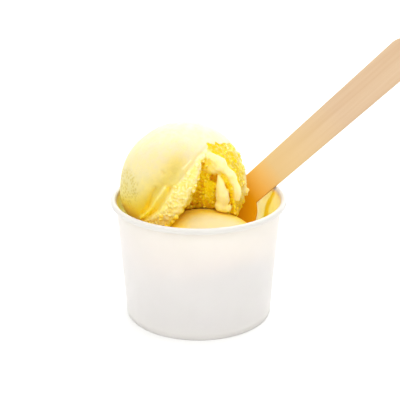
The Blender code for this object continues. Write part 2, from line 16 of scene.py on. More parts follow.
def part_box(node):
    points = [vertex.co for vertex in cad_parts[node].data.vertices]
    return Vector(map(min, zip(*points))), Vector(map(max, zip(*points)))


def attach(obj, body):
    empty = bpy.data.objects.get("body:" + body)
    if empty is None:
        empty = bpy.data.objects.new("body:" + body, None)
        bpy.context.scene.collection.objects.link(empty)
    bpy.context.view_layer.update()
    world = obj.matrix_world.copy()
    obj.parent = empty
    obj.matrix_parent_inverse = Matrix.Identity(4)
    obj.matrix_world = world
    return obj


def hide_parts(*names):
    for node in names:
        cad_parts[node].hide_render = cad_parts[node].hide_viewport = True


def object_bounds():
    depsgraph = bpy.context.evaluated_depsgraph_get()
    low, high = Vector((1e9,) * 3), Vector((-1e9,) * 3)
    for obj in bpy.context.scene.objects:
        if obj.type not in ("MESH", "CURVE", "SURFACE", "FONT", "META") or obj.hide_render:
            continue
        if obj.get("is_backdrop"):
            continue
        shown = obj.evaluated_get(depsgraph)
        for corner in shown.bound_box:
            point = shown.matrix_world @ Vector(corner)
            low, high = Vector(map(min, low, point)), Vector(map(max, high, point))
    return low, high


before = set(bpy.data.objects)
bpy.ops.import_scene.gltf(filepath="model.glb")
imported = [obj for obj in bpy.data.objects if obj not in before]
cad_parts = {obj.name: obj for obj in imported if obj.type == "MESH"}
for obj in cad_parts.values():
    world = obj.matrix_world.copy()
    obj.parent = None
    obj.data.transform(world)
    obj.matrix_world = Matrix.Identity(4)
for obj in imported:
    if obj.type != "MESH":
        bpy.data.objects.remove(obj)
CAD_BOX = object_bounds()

bl_info = {
    "name": "Ice cream cup",
    "version": (1, 0, 0),
    "blender": (4, 5, 0),
    "location": "3D View > Sidebar > Ice cream cup",
    "description": "Builds a paper tub of scooped ice cream with a wooden spoon",
    "category": "Add Mesh",
}

MM = 0.001

# Where the tub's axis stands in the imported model
_low, _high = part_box("cup_wall")
AXIS = Vector((0.5 * (_low.x + _high.x), 0.5 * (_low.y + _high.y), 0.0))

# Room between rigid pieces, round the ice cream, and where the upper scoop sits on the lower one
FIT = 0.3 * MM
BED = 0.6 * MM
NEST = 0.12 * MM
# How far the finish looks for neighbours: across a crack, and across a whole hollow
CRACK_REACH = 2.5 * MM
HOLLOW_REACH = 16.0 * MM
# Middle of the upper scoop, and how softly its forms run into one another
BALL_CENTRE = np.array((-6.3, 5.0, 57.2)) * MM
BLEND = 0.8 * MM

# Outlines on the upper scoop as (u, v): mm right of its middle and above it, square to the torn face
FLAP_EDGE = [
    (-8.0, -34.0), (-6.1, -17.8), (-3.0, -14.6), (-0.3, -12.0), (-0.1, -10.2), (1.9, -8.8),
    (3.0, -6.8), (4.2, -3.7), (5.2, -1.3), (5.9, 1.5), (6.6, 5.0), (8.7, 9.4), (10.5, 12.8),
    (10.6, 16.1),
]
TORN_OUTLINE = FLAP_EDGE + [(15.3, 16.4), (20.6, 16.3), (34.0, 17.5), (34.0, -34.0)]
SKIRT_LINE = [
    (9.4, 14.5), (5.6, 10.6), (3.6, 7.3), (-0.6, 1.8), (-5.1, -2.9), (-7.5, -7.4), (-10.0, -11.1),
    (-13.1, -13.0), (-16.1, -14.9), (-23.0, -19.0),
]
SKIRT_OUTLINE = FLAP_EDGE + SKIRT_LINE + [(-26.0, -34.0)]
BROAD_GROOVE = [
    (0.2, 8.8), (-2.4, 6.2), (-4.0, 3.2), (-6.2, -0.8), (-10.0, -4.4), (-13.8, -9.2),
]
LEFT_GROOVE = [(-11.4, -2.6), (-12.6, -4.2), (-14.9, -10.8), (-17.0, -12.6)]
FOLD_RIDGE = [(-7.5, -2.1), (-10.6, -6.3), (-13.8, -11.1), (-18.1, -14.9)]
FOLD_GROOVE = [(-5.4, -2.2), (-5.9, -4.2), (-8.8, -8.0), (-11.1, -11.1), (-14.0, -13.2)]
SHORT_RIDGE = [(3.0, 8.9), (0.1, 5.7)]
SMALL_DENT = [(-8.6, 4.4), (-8.0, 4.0)]
# path, depth (a ridge is negative) and half width of each line pressed into the smooth skin
SKIN_LINES = [
    (BROAD_GROOVE, 0.8 * MM, 4.2 * MM),
    (BROAD_GROOVE[2:], 1.1 * MM, 3.4 * MM),
    (LEFT_GROOVE, 0.9 * MM, 1.1 * MM),
    (FOLD_RIDGE, -1.0 * MM, 0.75 * MM),
    (FOLD_GROOVE, 0.9 * MM, 0.9 * MM),
    (SHORT_RIDGE, -0.5 * MM, 0.55 * MM),
    (SMALL_DENT, 0.6 * MM, 0.8 * MM),
]
# Middle of the darker fold in the skin, a painted shade
FOLD_TONE = [
    (-2.6, 7.2), (-3.4, 6.4), (-5.0, 3.6), (-6.6, -0.6), (-10.8, -4.2), (-16.0, -10.9),
]

# Where the ball is flatter or fuller than a sphere: middle (u, v, w), height and reach
FLAT_SHOULDER = (np.array((-15.5, 20.5, 7.0)) * MM, -1.0 * MM, 10.0 * MM)
FULL_SIDE = (np.array((-26.0, -8.0, 4.0)) * MM, 0.9 * MM, 7.0 * MM)

# Curls left standing on the torn side: (u, v, w, radius) in mm, w towards the viewer
ARCH_CURL = [
    (8.4, 11.8, 21.4, 1.0), (10.9, 11.2, 21.5, 1.4), (13.0, 9.9, 21.0, 1.9), (15.6, 8.0, 20.4, 2.6),
    (17.5, 5.8, 19.2, 1.35), (19.5, 4.0, 17.9, 1.7), (21.2, 1.6, 16.4, 1.85), (22.3, -1.4, 14.9, 1.75),
    (22.7, -4.6, 13.6, 1.6), (22.5, -6.6, 12.9, 1.1),
]
HANGING_CURL = [
    (14.6, 2.9, 18.4, 0.7), (15.3, -0.8, 17.2, 1.9), (16.2, -4.6, 15.2, 2.8), (16.5, -7.2, 13.7, 3.0),
]
HANGING_CURL_FLATNESS = 1.35
CURL_FOOT = [(15.2, -9.6, 12.9, 2.3), (18.0, -10.4, 12.1, 2.3)]
HOLLOW_MOUND = [(9.2, 9.6, 18.6, 2.2), (10.6, 7.6, 18.2, 2.7), (13.0, 6.2, 18.0, 2.3)]
EDGE_TIP = [(23.6, -3.2, 3.0, 3.0), (27.3, -2.9, 1.2, 1.0)]
# Hollows cut into the torn side: a hole below the arch, and the gap between the two curls
DARK_HOLE = [(12.1, 2.8, 20.0, 1.7), (12.9, 2.0, 14.5, 1.7)]
CURL_GAP = [
    (16.6, 2.6, 19.2, 1.5), (18.2, 0.2, 18.2, 1.9), (19.4, -3.0, 16.6, 1.7), (20.0, -6.4, 15.0, 1.2),
]

# Patch of small pits on the skin's left side, as an ellipse (u, v, half width, half height)
PIT_PATCH = (-25.3, -3.3, 6.3, 8.7)

# Yellow streak on the tub's inner wall: (angle from +X in degrees, height in mm) along its middle
SMEAR_LINE = [(18.5, 51.0), (22.0, 47.5), (26.1, 43.9), (27.0, 38.6), (27.5, 35.0)]
SMEAR_RADIUS = 34.5 * MM
SMEAR_HALF_WIDTH = 1.5 * MM


# --- settings


def linear(red, green, blue):
    """Scene-linear colour from display values of 0 to 255."""
    shares = [c / 255.0 for c in (red, green, blue)]
    return [s / 12.92 if s < 0.04045 else ((s + 0.055) / 1.055) ** 2.4 for s in shares] + [1.0]


def length(words, size):
    """A length setting, given in mm and kept in metres."""
    return FloatProperty(
        name=words, default=size * MM, precision=5, unit="LENGTH", subtype="DISTANCE"
    )


def angle(words, degrees):
    return FloatProperty(
        name=words, default=math.radians(degrees), unit="ROTATION", subtype="ANGLE"
    )


def colour(words, red, green, blue):
    """A colour setting, given by its display values."""
    return FloatVectorProperty(
        name=words, default=linear(red, green, blue), size=4, min=0.0, max=1.0, subtype="COLOR"
    )


class TubSettings(bpy.types.PropertyGroup):
    rim_radius: length("Outer radius of the rolled rim", 38.0)
    roll_radius: length("Radius of the rim's roll", 1.3)
    height: length("Table to the top of the rim", 53.1)
    foot_radius: length("Outer radius at the table", 31.7)
    top_radius: length("Outer radius under the rim", 35.7)
    paper: length("Thickness of the wall", 0.5)
    hem_width: length("Thickness of the folded hem", 1.7)
    hem_height: length("Height of the folded hem", 4.8)
    base_thickness: length("Thickness of the bottom disc", 0.6)
    segments: IntProperty(name="Steps round the tub", default=320, min=24)
    smear_height: length("Height of the smear", 0.35)
    white: colour("Coated paperboard", 212, 209, 205)
    crown: colour("Rim's crown, a little duller", 201, 198, 193)
    # Partly melted ice cream, partly painted yellow bounce light from the scoops
    film: colour("Melted film on the inner wall", 255, 207, 100)
    smear: colour("Smear on the inner wall", 255, 198, 16)
    # Partly melted ice cream, partly painted yellow bounce light from the scoops, on the wall's left
    # side
    pool: colour("Melted ice cream beside the scoops", 255, 208, 84)


class ScoopSettings(bpy.types.PropertyGroup):
    ball_radius: length("Radius of the upper scoop", 27.3)
    face_tilt: angle("How far the torn side looks up", 20.9)
    crumb_size: length("Across the torn side's crumbs", 3.0)
    crumb_height: length("How far the crumbs stand out", 1.3)
    fine_step: length("Grid step of the upper scoop", 0.45)
    lower_step: length("Grid step of the lower scoop", 0.6)
    loose_size: length("Largest radius of a loose crumb", 1.1)
    loose_density: FloatProperty(name="Loose crumbs per square metre", default=90000.0, min=0.0)
    # Painted highlight: the skin turns paler towards the top, and on the lower scoop's front
    lit_skin: colour("Frosty skin at the top", 214, 203, 177)
    skin: colour("Smooth pressed skin", 206, 192, 112)
    # Painted shade and yellow bounce: the skin turns more yellow low down
    shaded_low_skin: colour("Wet skin low down", 252, 234, 114)
    # Painted shade in the broad fold
    fold: colour("Moist skin in the broad fold", 205, 181, 72)
    # The crumb and curl colours are also the lit tones of the painted light on crumb and flake tops
    crumb: colour("Tops of the crumbs", 220, 198, 112)
    # Painted shade between the skirt's flakes and low on the curls, also a random mottle on the smooth
    # skin
    flake: colour("Between the skirt's flakes", 230, 210, 108)
    curl: colour("Curls and the skirt's flakes", 235, 223, 163)
    # Painted shade on the lower scoop where the flap shades it
    flap_shade: colour("Lower scoop in the flap's shade", 255, 216, 64)
    # Painted light: the skirt's flakes turn paler low down, where the rim shades them
    lit_low_flake: colour("Wet skirt low down", 252, 241, 166)
    # Painted shade in the small pits
    pit: colour("Small pits in the skin", 188, 164, 44)
    # Painted shade between the crumbs, also laid in random patches
    gap: colour("Between the crumbs", 206, 174, 0)
    # Painted shade, laid in cracks and hollows by how open each point is
    hollow: colour("Cracks and shaded hollows", 253, 224, 0)
    deep: colour("Depths of the hollow", 255, 182, 0)


class SpoonSettings(bpy.types.PropertyGroup):
    length: length("Whole length", 140.0)
    thickness: length("Thickness of the wood", 1.8)
    bowl_length: length("Length of the bowl", 43.4)
    bowl_half: length("Half of the bowl's width", 15.0)
    bowl_dish: length("How deep the bowl is pressed", 1.4)
    neck_half: length("Half of the neck's width", 6.1)
    end_half: length("Half of the handle's width at its end", 7.7)
    light_wood: colour("Paler grain", 196, 170, 140)
    dark_wood: colour("Darker grain", 188, 158, 126)
    # Yellower tone towards the bowl
    yellow_wood: colour("Damp wood near the rim", 207, 178, 124)
    # Painted shade: orange where the scoop shades the bowl and yellow bounce falls on it
    shaded_wood: colour("Wood soaked with ice cream", 228, 162, 0)


class StageSettings(bpy.types.PropertyGroup):
    camera_distance: length("Lens to the middle of the view", 500.0)
    camera_elevation: angle("How far the camera looks down", 20.89)
    lens: FloatProperty(name="Focal length in mm", default=104.184)
    aim_height: length("Height of the middle of the view", 51.48)
    aim_side: length("Middle of the view right of the tub's axis", 0.63)
    world_light: FloatProperty(name="Strength of the room's light", default=1.1)
    top_light: FloatProperty(name="Overhead panel in watts", default=4.0)
    front_light: FloatProperty(name="Front panel in watts", default=5.6)
    back_light: FloatProperty(name="Back panel in watts", default=6.0)
    floor_white: colour("White table", 232, 232, 231)


# --- noise


def lattice_random(cell, seed):
    """One number from 0 to 1 for each whole-number cell (N, 3)."""
    x, y, z = (cell[..., i].astype(np.uint64) for i in range(3))
    mixed = x * np.uint64(73856093) ^ y * np.uint64(19349663) ^ z * np.uint64(83492791)
    mixed = (mixed + np.uint64(seed) * np.uint64(2654435761)) & np.uint64(0xFFFFFFFF)
    mixed = (mixed ^ (mixed >> np.uint64(13))) * np.uint64(1274126177) & np.uint64(0xFFFFFFFF)
    mixed = (mixed ^ (mixed >> np.uint64(16))) * np.uint64(2246822519) & np.uint64(0xFFFFFFFF)
    return (mixed ^ (mixed >> np.uint64(15))).astype(float) / 4294967295.0


def soft_noise(points, size, seed):
    """Smooth noise from -1 to 1 with bumps about size across."""
    scaled = points / size
    cell = np.floor(scaled).astype(np.int64)
    part = scaled - cell
    part = part * part * (3.0 - 2.0 * part)
    total = np.zeros(len(points))
    for corner in product((0, 1), repeat=3):
        weight = np.prod(np.where(corner, part, 1.0 - part), axis=1)
        total += weight * lattice_random(cell + corner, seed)
    return 2.0 * total - 1.0


def crumb_noise(points, size, seed):
    """Rounded crumbs, 1 at a crumb's middle and about -0.6 in the cracks between them."""
    scaled = points / size
    cell = np.floor(scaled).astype(np.int64)
    nearest = np.full(len(points), 9.0)
    for corner in product((-1, 0, 1), repeat=3):
        there = cell + corner
        middle = np.stack([there[:, i] + lattice_random(there, seed + i) for i in range(3)], axis=1)
        nearest = np.minimum(nearest, ((scaled - middle) ** 2).sum(axis=1))
    return 1.0 - 1.9 * np.sqrt(nearest)


# --- distance fields, negative inside


def soft_min(a, b, blend):
    near = np.maximum(blend - np.abs(a - b), 0.0)
    return np.minimum(a, b) - near * near / (4.0 * blend)


def soft_max(a, b, blend):
    return -soft_min(-a, -b, blend)


def soft_step(value, low, high):
    t = np.clip((value - low) / (high - low), 0.0, 1.0)
    return t * t * (3.0 - 2.0 * t)


def ellipsoid(points, centre, semi):
    scaled = (points - centre) / semi
    reach = np.linalg.norm(scaled, axis=1)
    steep = np.linalg.norm(scaled / semi, axis=1)
    return reach * (reach - 1.0) / np.maximum(steep, 1e-9)


def path_distance(flat, path):
    """Distance in a plane to an open path given in mm."""
    nearest = np.full(len(flat), np.inf)
    corners = np.array(path) * MM
    for start, end in zip(corners, corners[1:]):
        run = end - start
        along = np.clip(((flat - start) @ run) / (run @ run), 0.0, 1.0)
        gap = np.linalg.norm(flat - start - along[:, None] * run, axis=1)
        nearest = np.minimum(nearest, gap)
    return nearest


def outline_distance(flat, outline):
    """Signed distance in a plane to a closed outline given in mm, negative inside."""
    distance = path_distance(flat, outline + outline[:1])
    corners = np.array(outline) * MM
    inside = np.zeros(len(flat), bool)
    for (x1, y1), (x2, y2) in zip(corners, np.roll(corners, -1, axis=0)):
        spans = (y1 > flat[:, 1]) != (y2 > flat[:, 1])
        rise = y2 - y1 if y2 != y1 else 1.0
        crossing = x1 + (flat[:, 1] - y1) * (x2 - x1) / rise
        inside ^= spans & (flat[:, 0] < crossing)
    return np.where(inside, -distance, distance)


def bell(distance, width):
    """1 where the distance is 0, falling off softly over a width."""
    return np.exp(-((distance / width) ** 2))


def swept_ball(points, beads, flatness=1.0):
    """A ball whose radius changes along a path of (u, v, w, radius) beads, thinner across w."""
    stretch = np.array((1.0, 1.0, flatness))
    nearest = np.full(len(points), np.inf)
    chain = np.array(beads) * MM
    for start, end in zip(chain, chain[1:]):
        run = (end[:3] - start[:3]) * stretch
        offset = (points - start[:3]) * stretch
        along = np.clip((offset @ run) / (run @ run), 0.0, 1.0)
        radius = start[3] + along * (end[3] - start[3])
        gap = np.linalg.norm(offset - along[:, None] * run, axis=1) - radius
        nearest = np.minimum(nearest, gap)
    return nearest


# --- surface from a field


def fill_pinches(inside):
    """Fills corners until solid corners nowhere meet only across an edge's diagonal."""
    changed = True
    near, far = slice(None, -1), slice(1, None)
    while changed:
        before = inside.sum()
        for a, b in ((0, 1), (0, 2), (1, 2)):
            corner = {}
            for first, second in product((0, 1), repeat=2):
                place = [slice(None)] * 3
                place[a] = far if first else near
                place[b] = far if second else near
                corner[first, second] = tuple(place)
            for first in (0, 1):
                one, two = inside[corner[0, first]], inside[corner[1, 1 - first]]
                other = inside[corner[0, 1 - first]] | inside[corner[1, first]]
                inside[corner[0, 1 - first]] |= one & two & ~other
        changed = inside.sum() != before
    return inside


def outer_shell(points, quads):
    """Keeps the largest connected surface, without scraps or closed inner bubbles."""
    label = np.arange(len(points))
    edges = np.concatenate([quads[:, (i, (i + 1) % 4)] for i in range(4)])
    while True:
        low = np.minimum(label[edges[:, 0]], label[edges[:, 1]])
        np.minimum.at(label, edges[:, 0], low)
        np.minimum.at(label, edges[:, 1], low)
        label = label[label]
        if (label[edges[:, 0]] == label[edges[:, 1]]).all():
            break
    names, counts = np.unique(label, return_counts=True)
    kept = label == names[counts.argmax()]
    renumbered = np.cumsum(kept) - 1
    return points[kept], renumbered[quads[kept[quads[:, 0]]]]


def settle(field, points, reach):
    """Moves points onto the surface where the field is zero, at most reach away."""
    nudge = 0.1 * MM
    value = field(points)
    slope = np.stack([
        field(points + nudge * np.eye(3)[i]) - field(points - nudge * np.eye(3)[i]) for i in range(3)
    ], axis=1) / (2.0 * nudge)
    steep = np.maximum((slope**2).sum(axis=1), 0.25)
    move = -value[:, None] * slope / steep[:, None]
    size = np.linalg.norm(move, axis=1)
    return points + move * np.minimum(1.0, reach / np.maximum(size, 1e-12))[:, None]


def surface(field, low, high, step):
    """Points and quads of the closed surface where the field is zero.

    The field is worked out on a coarse grid first, and on the fine one only near the surface. Each
    crossed grid cell holds one point, and each crossed grid edge makes one quad.
    """
    coarse = 4
    counts = [int(math.ceil((high[i] - low[i]) / (coarse * step))) * coarse + 1 for i in range(3)]
    axes = [low[i] + step * np.arange(counts[i]) for i in range(3)]
    rough = np.stack(np.meshgrid(*[a[::coarse] for a in axes], indexing="ij"), axis=-1)
    rough_values = field(rough.reshape(-1, 3)).reshape(rough.shape[:3])
    nearest = [(np.arange(n) + coarse // 2) // coarse for n in counts]
    values = rough_values[np.ix_(*nearest)]
    grid = np.stack(np.meshgrid(*axes, indexing="ij"), axis=-1)
    band = np.abs(values) < coarse * step + 2.0 * MM
    values[band] = field(grid[band])

    inside = fill_pinches(values < 0.0)
    least = 0.05 * step
    values = np.where(inside, np.minimum(values, -least), np.maximum(values, least))
    cells = tuple(n - 1 for n in values.shape)
    total = np.zeros(cells + (3,))
    count = np.zeros(cells)
    crossings = []
    for axis in range(3):
        first = [slice(None)] * 3
        second = [slice(None)] * 3
        first[axis], second[axis] = slice(None, -1), slice(1, None)
        start, end = values[tuple(first)], values[tuple(second)]
        crossed = (start < 0.0) != (end < 0.0)
        share = np.where(crossed, start / np.where(crossed, start - end, 1.0), 0.0)
        place = grid[tuple(first)].copy()
        place[..., axis] += share * step
        place *= crossed[..., None]
        crossings.append(crossed & (start < 0.0))
        crossings.append(crossed & (start >= 0.0))
        others = [i for i in range(3) if i != axis]
        for shifts in product((0, 1), repeat=2):
            edge = [slice(None)] * 3
            for other, shift in zip(others, shifts):
                edge[other] = slice(shift, cells[other] + shift)
            total += place[tuple(edge)]
            count += crossed[tuple(edge)]
    used = count > 0
    index = np.full(cells, -1)
    index[used] = np.arange(used.sum())
    points = total[used] / count[used][:, None]

    quads = []
    for axis in range(3):
        a, b = (axis + 1) % 3, (axis + 2) % 3
        for leaving, crossed in zip((True, False), crossings[2 * axis : 2 * axis + 2]):
            where = np.argwhere(crossed)
            ring = []
            for step_a, step_b in ((0, 0), (-1, 0), (-1, -1), (0, -1)):
                cell = where.copy()
                cell[:, a] += step_a
                cell[:, b] += step_b
                ring.append(index[tuple(cell.T)])
            quad = np.stack(ring, axis=1)
            quads.append(quad if leaving else quad[:, ::-1])
    points, quads = outer_shell(points, np.concatenate(quads))
    return settle(field, points, 0.4 * step), quads


# --- meshes


def add_mark(mesh, name, values):
    """Gives each point of a mesh a number, or three, under a name."""
    kind, field = ("FLOAT_VECTOR", "vector") if np.ndim(values) == 2 else ("FLOAT", "value")
    layer = mesh.attributes.new(name, kind, "POINT")
    layer.data.foreach_set(field, np.asarray(values, np.float32).ravel())


def linked(name, data):
    """An object in the scene that shows a mesh, a light or a camera."""
    made = bpy.data.objects.new(name, data)
    bpy.context.collection.objects.link(made)
    return made


def mesh_object(name, points, faces, finish, marks=None, crease_deg=180.0):
    """A smooth-shaded object whose points carry the named marks, moved to the tub's place."""
    mesh = bpy.data.meshes.new(name)
    mesh.from_pydata((np.asarray(points) + np.array(AXIS)).tolist(), [], [list(f) for f in faces])
    for mark, values in (marks or {}).items():
        add_mark(mesh, mark, values)
    mesh.materials.append(finish)
    mesh.shade_smooth()
    if crease_deg < 180.0:
        mesh.set_sharp_from_angle(angle=math.radians(crease_deg))
    return linked(name, mesh)


def belongs(piece, slot, *nodes):
    """The piece rides on the root body and may stand for CAD nodes, which it hides. The slot is not
    used.
    """
    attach(piece, "root")
    if nodes:
        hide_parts(*nodes)


# --- node trees


class Value:
    """A number or a colour in a node tree, worked on with the usual signs."""

    def __init__(self, nodes, socket):
        self.nodes, self.socket = nodes, socket

    def __add__(self, other):
        return self.nodes.maths("ADD", self, other)

    def __sub__(self, other):
        return self.nodes.maths("SUBTRACT", self, other)

    def __mul__(self, other):
        return self.nodes.maths("MULTIPLY", self, other)

    def __or__(self, other):
        """The larger of the two."""
        return self.nodes.maths("MAXIMUM", self, other)

    def span(self, low, high, to_low=0.0, to_high=1.0):
        """The value carried from one range to another, kept inside it."""
        feeds = {"Value": self, "From Min": low, "From Max": high, "To Min": to_low, "To Max": to_high}
        return self.nodes.value("ShaderNodeMapRange", "Result", feeds, clamp=True)

    def fade(self, at_none, at_full):
        """What a share of 0 and a share of 1 are worth."""
        return self.span(0.0, 1.0, at_none, at_full)


class Nodes:
    """Adds nodes to a tree and feeds their inputs, found by identifier or name."""

    def __init__(self, tree):
        self.tree = tree

    def feed(self, node, feeds):
        """Sets inputs to plain values, or links them to a Value, a socket or a node's first output."""
        for key, value in feeds.items():
            socket = next(s for s in node.inputs if key in (s.identifier, s.name) and s.enabled)
            if isinstance(value, Value):
                value = value.socket
            elif isinstance(value, bpy.types.Node):
                value = next(s for s in value.outputs if s.enabled)
            if isinstance(value, bpy.types.NodeSocket):
                self.tree.links.new(value, socket)
            else:
                socket.default_value = value

    def add(self, kind, feeds=None, **settings):
        node = self.tree.nodes.new(kind)
        for key, value in settings.items():
            setattr(node, key, value)
        self.feed(node, feeds or {})
        return node

    def value(self, kind, output, feeds=None, **settings):
        """A new node's output, by its identifier."""
        outputs = self.add(kind, feeds, **settings).outputs
        return Value(self, next(s for s in outputs if s.identifier == output))

    def maths(self, operation, first, second):
        feeds = {"Value": first, "Value_001": second}
        return self.value("ShaderNodeMath", "Value", feeds, operation=operation)

    def mark(self, name):
        """The number that a mesh's points carry under a name."""
        return self.value("ShaderNodeAttribute", "Fac", attribute_name=name)

    def mix(self, share, first, second):
        """Colour between two, by a share from 0 to 1."""
        feeds = {"Factor_Float": share, "A_Color": first, "B_Color": second}
        return self.value("ShaderNodeMix", "Result_Color", feeds, data_type="RGBA")

    def noise(self, place, scale, detail=2.0, roughness=0.5):
        feeds = {"Vector": place, "Scale": scale, "Detail": detail, "Roughness": roughness}
        return self.value("ShaderNodeTexNoise", "Fac", feeds)

    def part(self, place, axis):
        """One coordinate of a place, X, Y or Z."""
        return self.value("ShaderNodeSeparateXYZ", axis, {"Vector": place})

    def openness(self, reach):
        """1 in the open and 0 deep in a crack, judged within a reach."""
        return self.value("ShaderNodeAmbientOcclusion", "AO", {"Distance": reach}, samples=8)

    def bump(self, height, distance, strength):
        feeds = {"Height": height, "Distance": distance, "Strength": strength}
        return self.add("ShaderNodeBump", feeds)


def finish_material(name):
    """A new material, its nodes, its shader and its object coordinates."""
    made = bpy.data.materials.new(name)
    made.use_nodes = True
    nodes = Nodes(made.node_tree)
    place = nodes.value("ShaderNodeTexCoord", "Object")
    return made, nodes, made.node_tree.nodes["Principled BSDF"], place


def shared_material(key, make, settings):
    """The material of that name in the file, made on first use."""
    return bpy.data.materials.get(key) or make(settings)


def paper_material(tub):
    """Coated white paperboard, with melted ice cream on its inner side, partly painted yellow bounce
    light from the scoops.
    """
    made, nodes, shader, place = finish_material("coated paperboard")
    shade = [0.97 * c for c in tub.white[:3]] + [1.0]
    film = nodes.mark("film")
    patchy = nodes.noise(place, 110.0, 3.0).span(0.35, 0.65, 0.7, 1.0)
    crown = nodes.part(place, "Z").span(tub.height - 2.2 * MM, tub.height - 0.8 * MM)
    tone = nodes.mix(nodes.noise(place, 60.0, 3.0).span(0.3, 0.7), shade, tub.white)
    # Film and pool: partly melted ice cream, partly painted yellow bounce light from the scoops
    tone = nodes.mix(film * patchy, tone, tub.film)
    tone = nodes.mix(nodes.mark("smear"), tone, tub.smear)
    tone = nodes.mix(nodes.mark("pool"), tone, tub.pool)
    tone = nodes.mix(crown, tone, tub.crown)
    nodes.feed(shader, {
        "Base Color": tone, "Roughness": 0.42, "Specular IOR Level": 0.4,
        "Subsurface Weight": 1.0, "Subsurface Radius": (0.85, 0.9, 0.8),
        "Subsurface Scale": film.fade(1.6 * MM, 3.6 * MM),
        "Normal": nodes.bump(nodes.noise(place, 1800.0, 3.0), 0.02 * MM, 0.5),
    })
    return made


def cream_material(scoops):
    """Ice cream: pale smooth skin, and by its marks the crumbly torn side and its hollows, with painted
    light and shade in its colour.
    """
    made, nodes, shader, place = finish_material("yellow ice cream")
    mix, noise = nodes.mix, nodes.noise
    torn, curl, skirt, lower, front, pitted = (
        nodes.mark(name) for name in ("torn", "curl", "skirt", "lower", "front", "pit")
    )
    near, far = nodes.openness(CRACK_REACH), nodes.openness(HOLLOW_REACH)
    spots = nodes.value("ShaderNodeTexVoronoi", "Distance", {"Vector": place, "Scale": 760.0})

    # Smooth skin: paler at the top, a painted highlight, and more yellow low down, painted shade and
    # yellow bounce
    wavy = nodes.part(place, "Z") + noise(place, 140.0, 4.0) * (12.0 * MM)
    low_down = wavy.span(66.0 * MM, 46.0 * MM) * lower.fade(1.0, 0.0)
    mottle = noise(place, 330.0, 5.0, 0.65).span(0.42, 0.62, 0.0, 0.25)
    smooth = mix(wavy.span(62.0 * MM, 88.0 * MM), scoops.skin, scoops.lit_skin)
    smooth = mix(low_down, smooth, scoops.shaded_low_skin)
    # Painted shade in the broad fold
    smooth = mix(nodes.mark("fold") * 0.75, smooth, scoops.fold)
    smooth = mix(mottle, smooth, scoops.flake)
    # Lower scoop: painted shade from the flap, paler on its front with a painted highlight
    smooth = mix(lower * 0.75, smooth, mix(front, scoops.flap_shade, scoops.curl))
    smooth = mix(front * 0.5, smooth, scoops.lit_skin)

    # Crumbs of the torn side, flakes of the skirt, and pits, with painted light on the tops of crumbs
    # and flakes and painted shade between them and in the pits
    broken = (torn | nodes.mark("broken")) * curl.fade(1.0, 0.1)
    grain = broken * spots.span(0.7, 0.1) + broken.fade(0.8, 0.0)
    lit = (nodes.mark("crumb") * 0.6 + grain * 0.55).span(0.36, 0.78)
    patches = noise(place, 480.0, 2.0).span(0.44, 0.58, 0.0, 0.75)
    rough = mix(patches, mix(lit, scoops.gap, scoops.crumb), scoops.gap)
    # Painted highlight: the torn side turns pale near the scoop's edge
    rough = mix(nodes.mark("edge_highlight"), rough, scoops.curl)
    # Curls in their own pale colour, with painted shade low down
    rough = mix(curl, rough, mix(low_down * 0.9, scoops.curl, scoops.flake))
    # Skirt flakes: painted light on their tops, painted shade between them, and painted light low down
    flaky = mix(low_down * 0.7, mix(lit, scoops.flake, scoops.curl), scoops.lit_low_flake)
    dots = pitted * spots.span(0.3, 0.55, 1.0, 0.0)
    smooth = mix(skirt * 0.85, smooth, flaky)
    # Painted shade in the small pits
    smooth = mix(dots * 0.6, smooth, scoops.pit)
    tone = mix(torn, smooth, rough)

    # Painted shade: deeper yellow in cracks and hollows, orange in the depths, by how open each point
    # is
    cracks = near.span(0.35, 0.95, 0.9, 0.0) * skirt.fade(1.0, 0.4) * torn.fade(0.6, 1.0)
    shaded = far.span(torn.fade(0.3, 0.55), torn.fade(0.9, 0.93), torn.fade(0.75, 1.0), 0.0)
    shaded = shaded * (curl | skirt | front).fade(1.0, 0.3)
    shut = far.span(0.05, 0.42, 0.85, 0.0) * (torn | lower * 0.4).fade(0.15, 1.0)
    tone = mix(cracks, tone, scoops.hollow)
    tone = mix(shaded, tone, scoops.hollow)
    tone = mix(shut, tone, scoops.deep)

    crisp = broken * far.span(0.35, 0.8, 0.4, 1.0) | pitted
    fine = noise(place, 1500.0, 4.0, 0.6) * 0.4 + noise(place, 420.0, 4.0, 0.6) * 1.2
    rise = fine + broken * grain - dots * 0.8
    nodes.feed(shader, {
        "Base Color": tone, "Roughness": 0.45, "Specular IOR Level": 0.15,
        "Subsurface Weight": crisp.fade(0.9, 0.3), "Subsurface Radius": (1.0, 0.85, 0.25),
        "Subsurface Scale": crisp.fade(6.0 * MM, 2.0 * MM),
        "Sheen Weight": 0.08, "Sheen Roughness": 0.5,
        "Normal": nodes.bump(rise, 0.35 * MM, 0.8),
    })
    return made


def crumb_material(scoops):
    """The same ice cream for loose crumbs, paler and yellower from crumb to crumb, with a painted
    highlight near the scoop's edge and painted shade in hollows.
    """
    made, nodes, shader, place = finish_material("ice cream crumbs")
    pale = nodes.noise(place, 420.0, 2.0).span(0.35, 0.65)
    golden = nodes.noise(place, 600.0, 1.0).span(0.46, 0.58, 0.0, 0.9)
    tone = nodes.mix(golden, nodes.mix(pale, scoops.crumb, scoops.curl), scoops.gap)
    # Painted highlight near the scoop's edge, pale skirt crumbs, and painted shade in hollows
    tone = nodes.mix(nodes.mark("edge_highlight") | nodes.mark("skirt"), tone, scoops.curl)
    tone = nodes.mix(nodes.openness(HOLLOW_REACH).span(0.45, 0.95, 0.9, 0.0), tone, scoops.hollow)
    nodes.feed(shader, {
        "Base Color": tone, "Roughness": 0.5, "Specular IOR Level": 0.15,
        "Subsurface Weight": 0.2, "Subsurface Radius": (1.0, 0.85, 0.3),
        "Subsurface Scale": 0.5 * MM,
        "Normal": nodes.bump(nodes.noise(place, 2200.0, 3.0), 0.1 * MM, 0.5),
    })
    return made


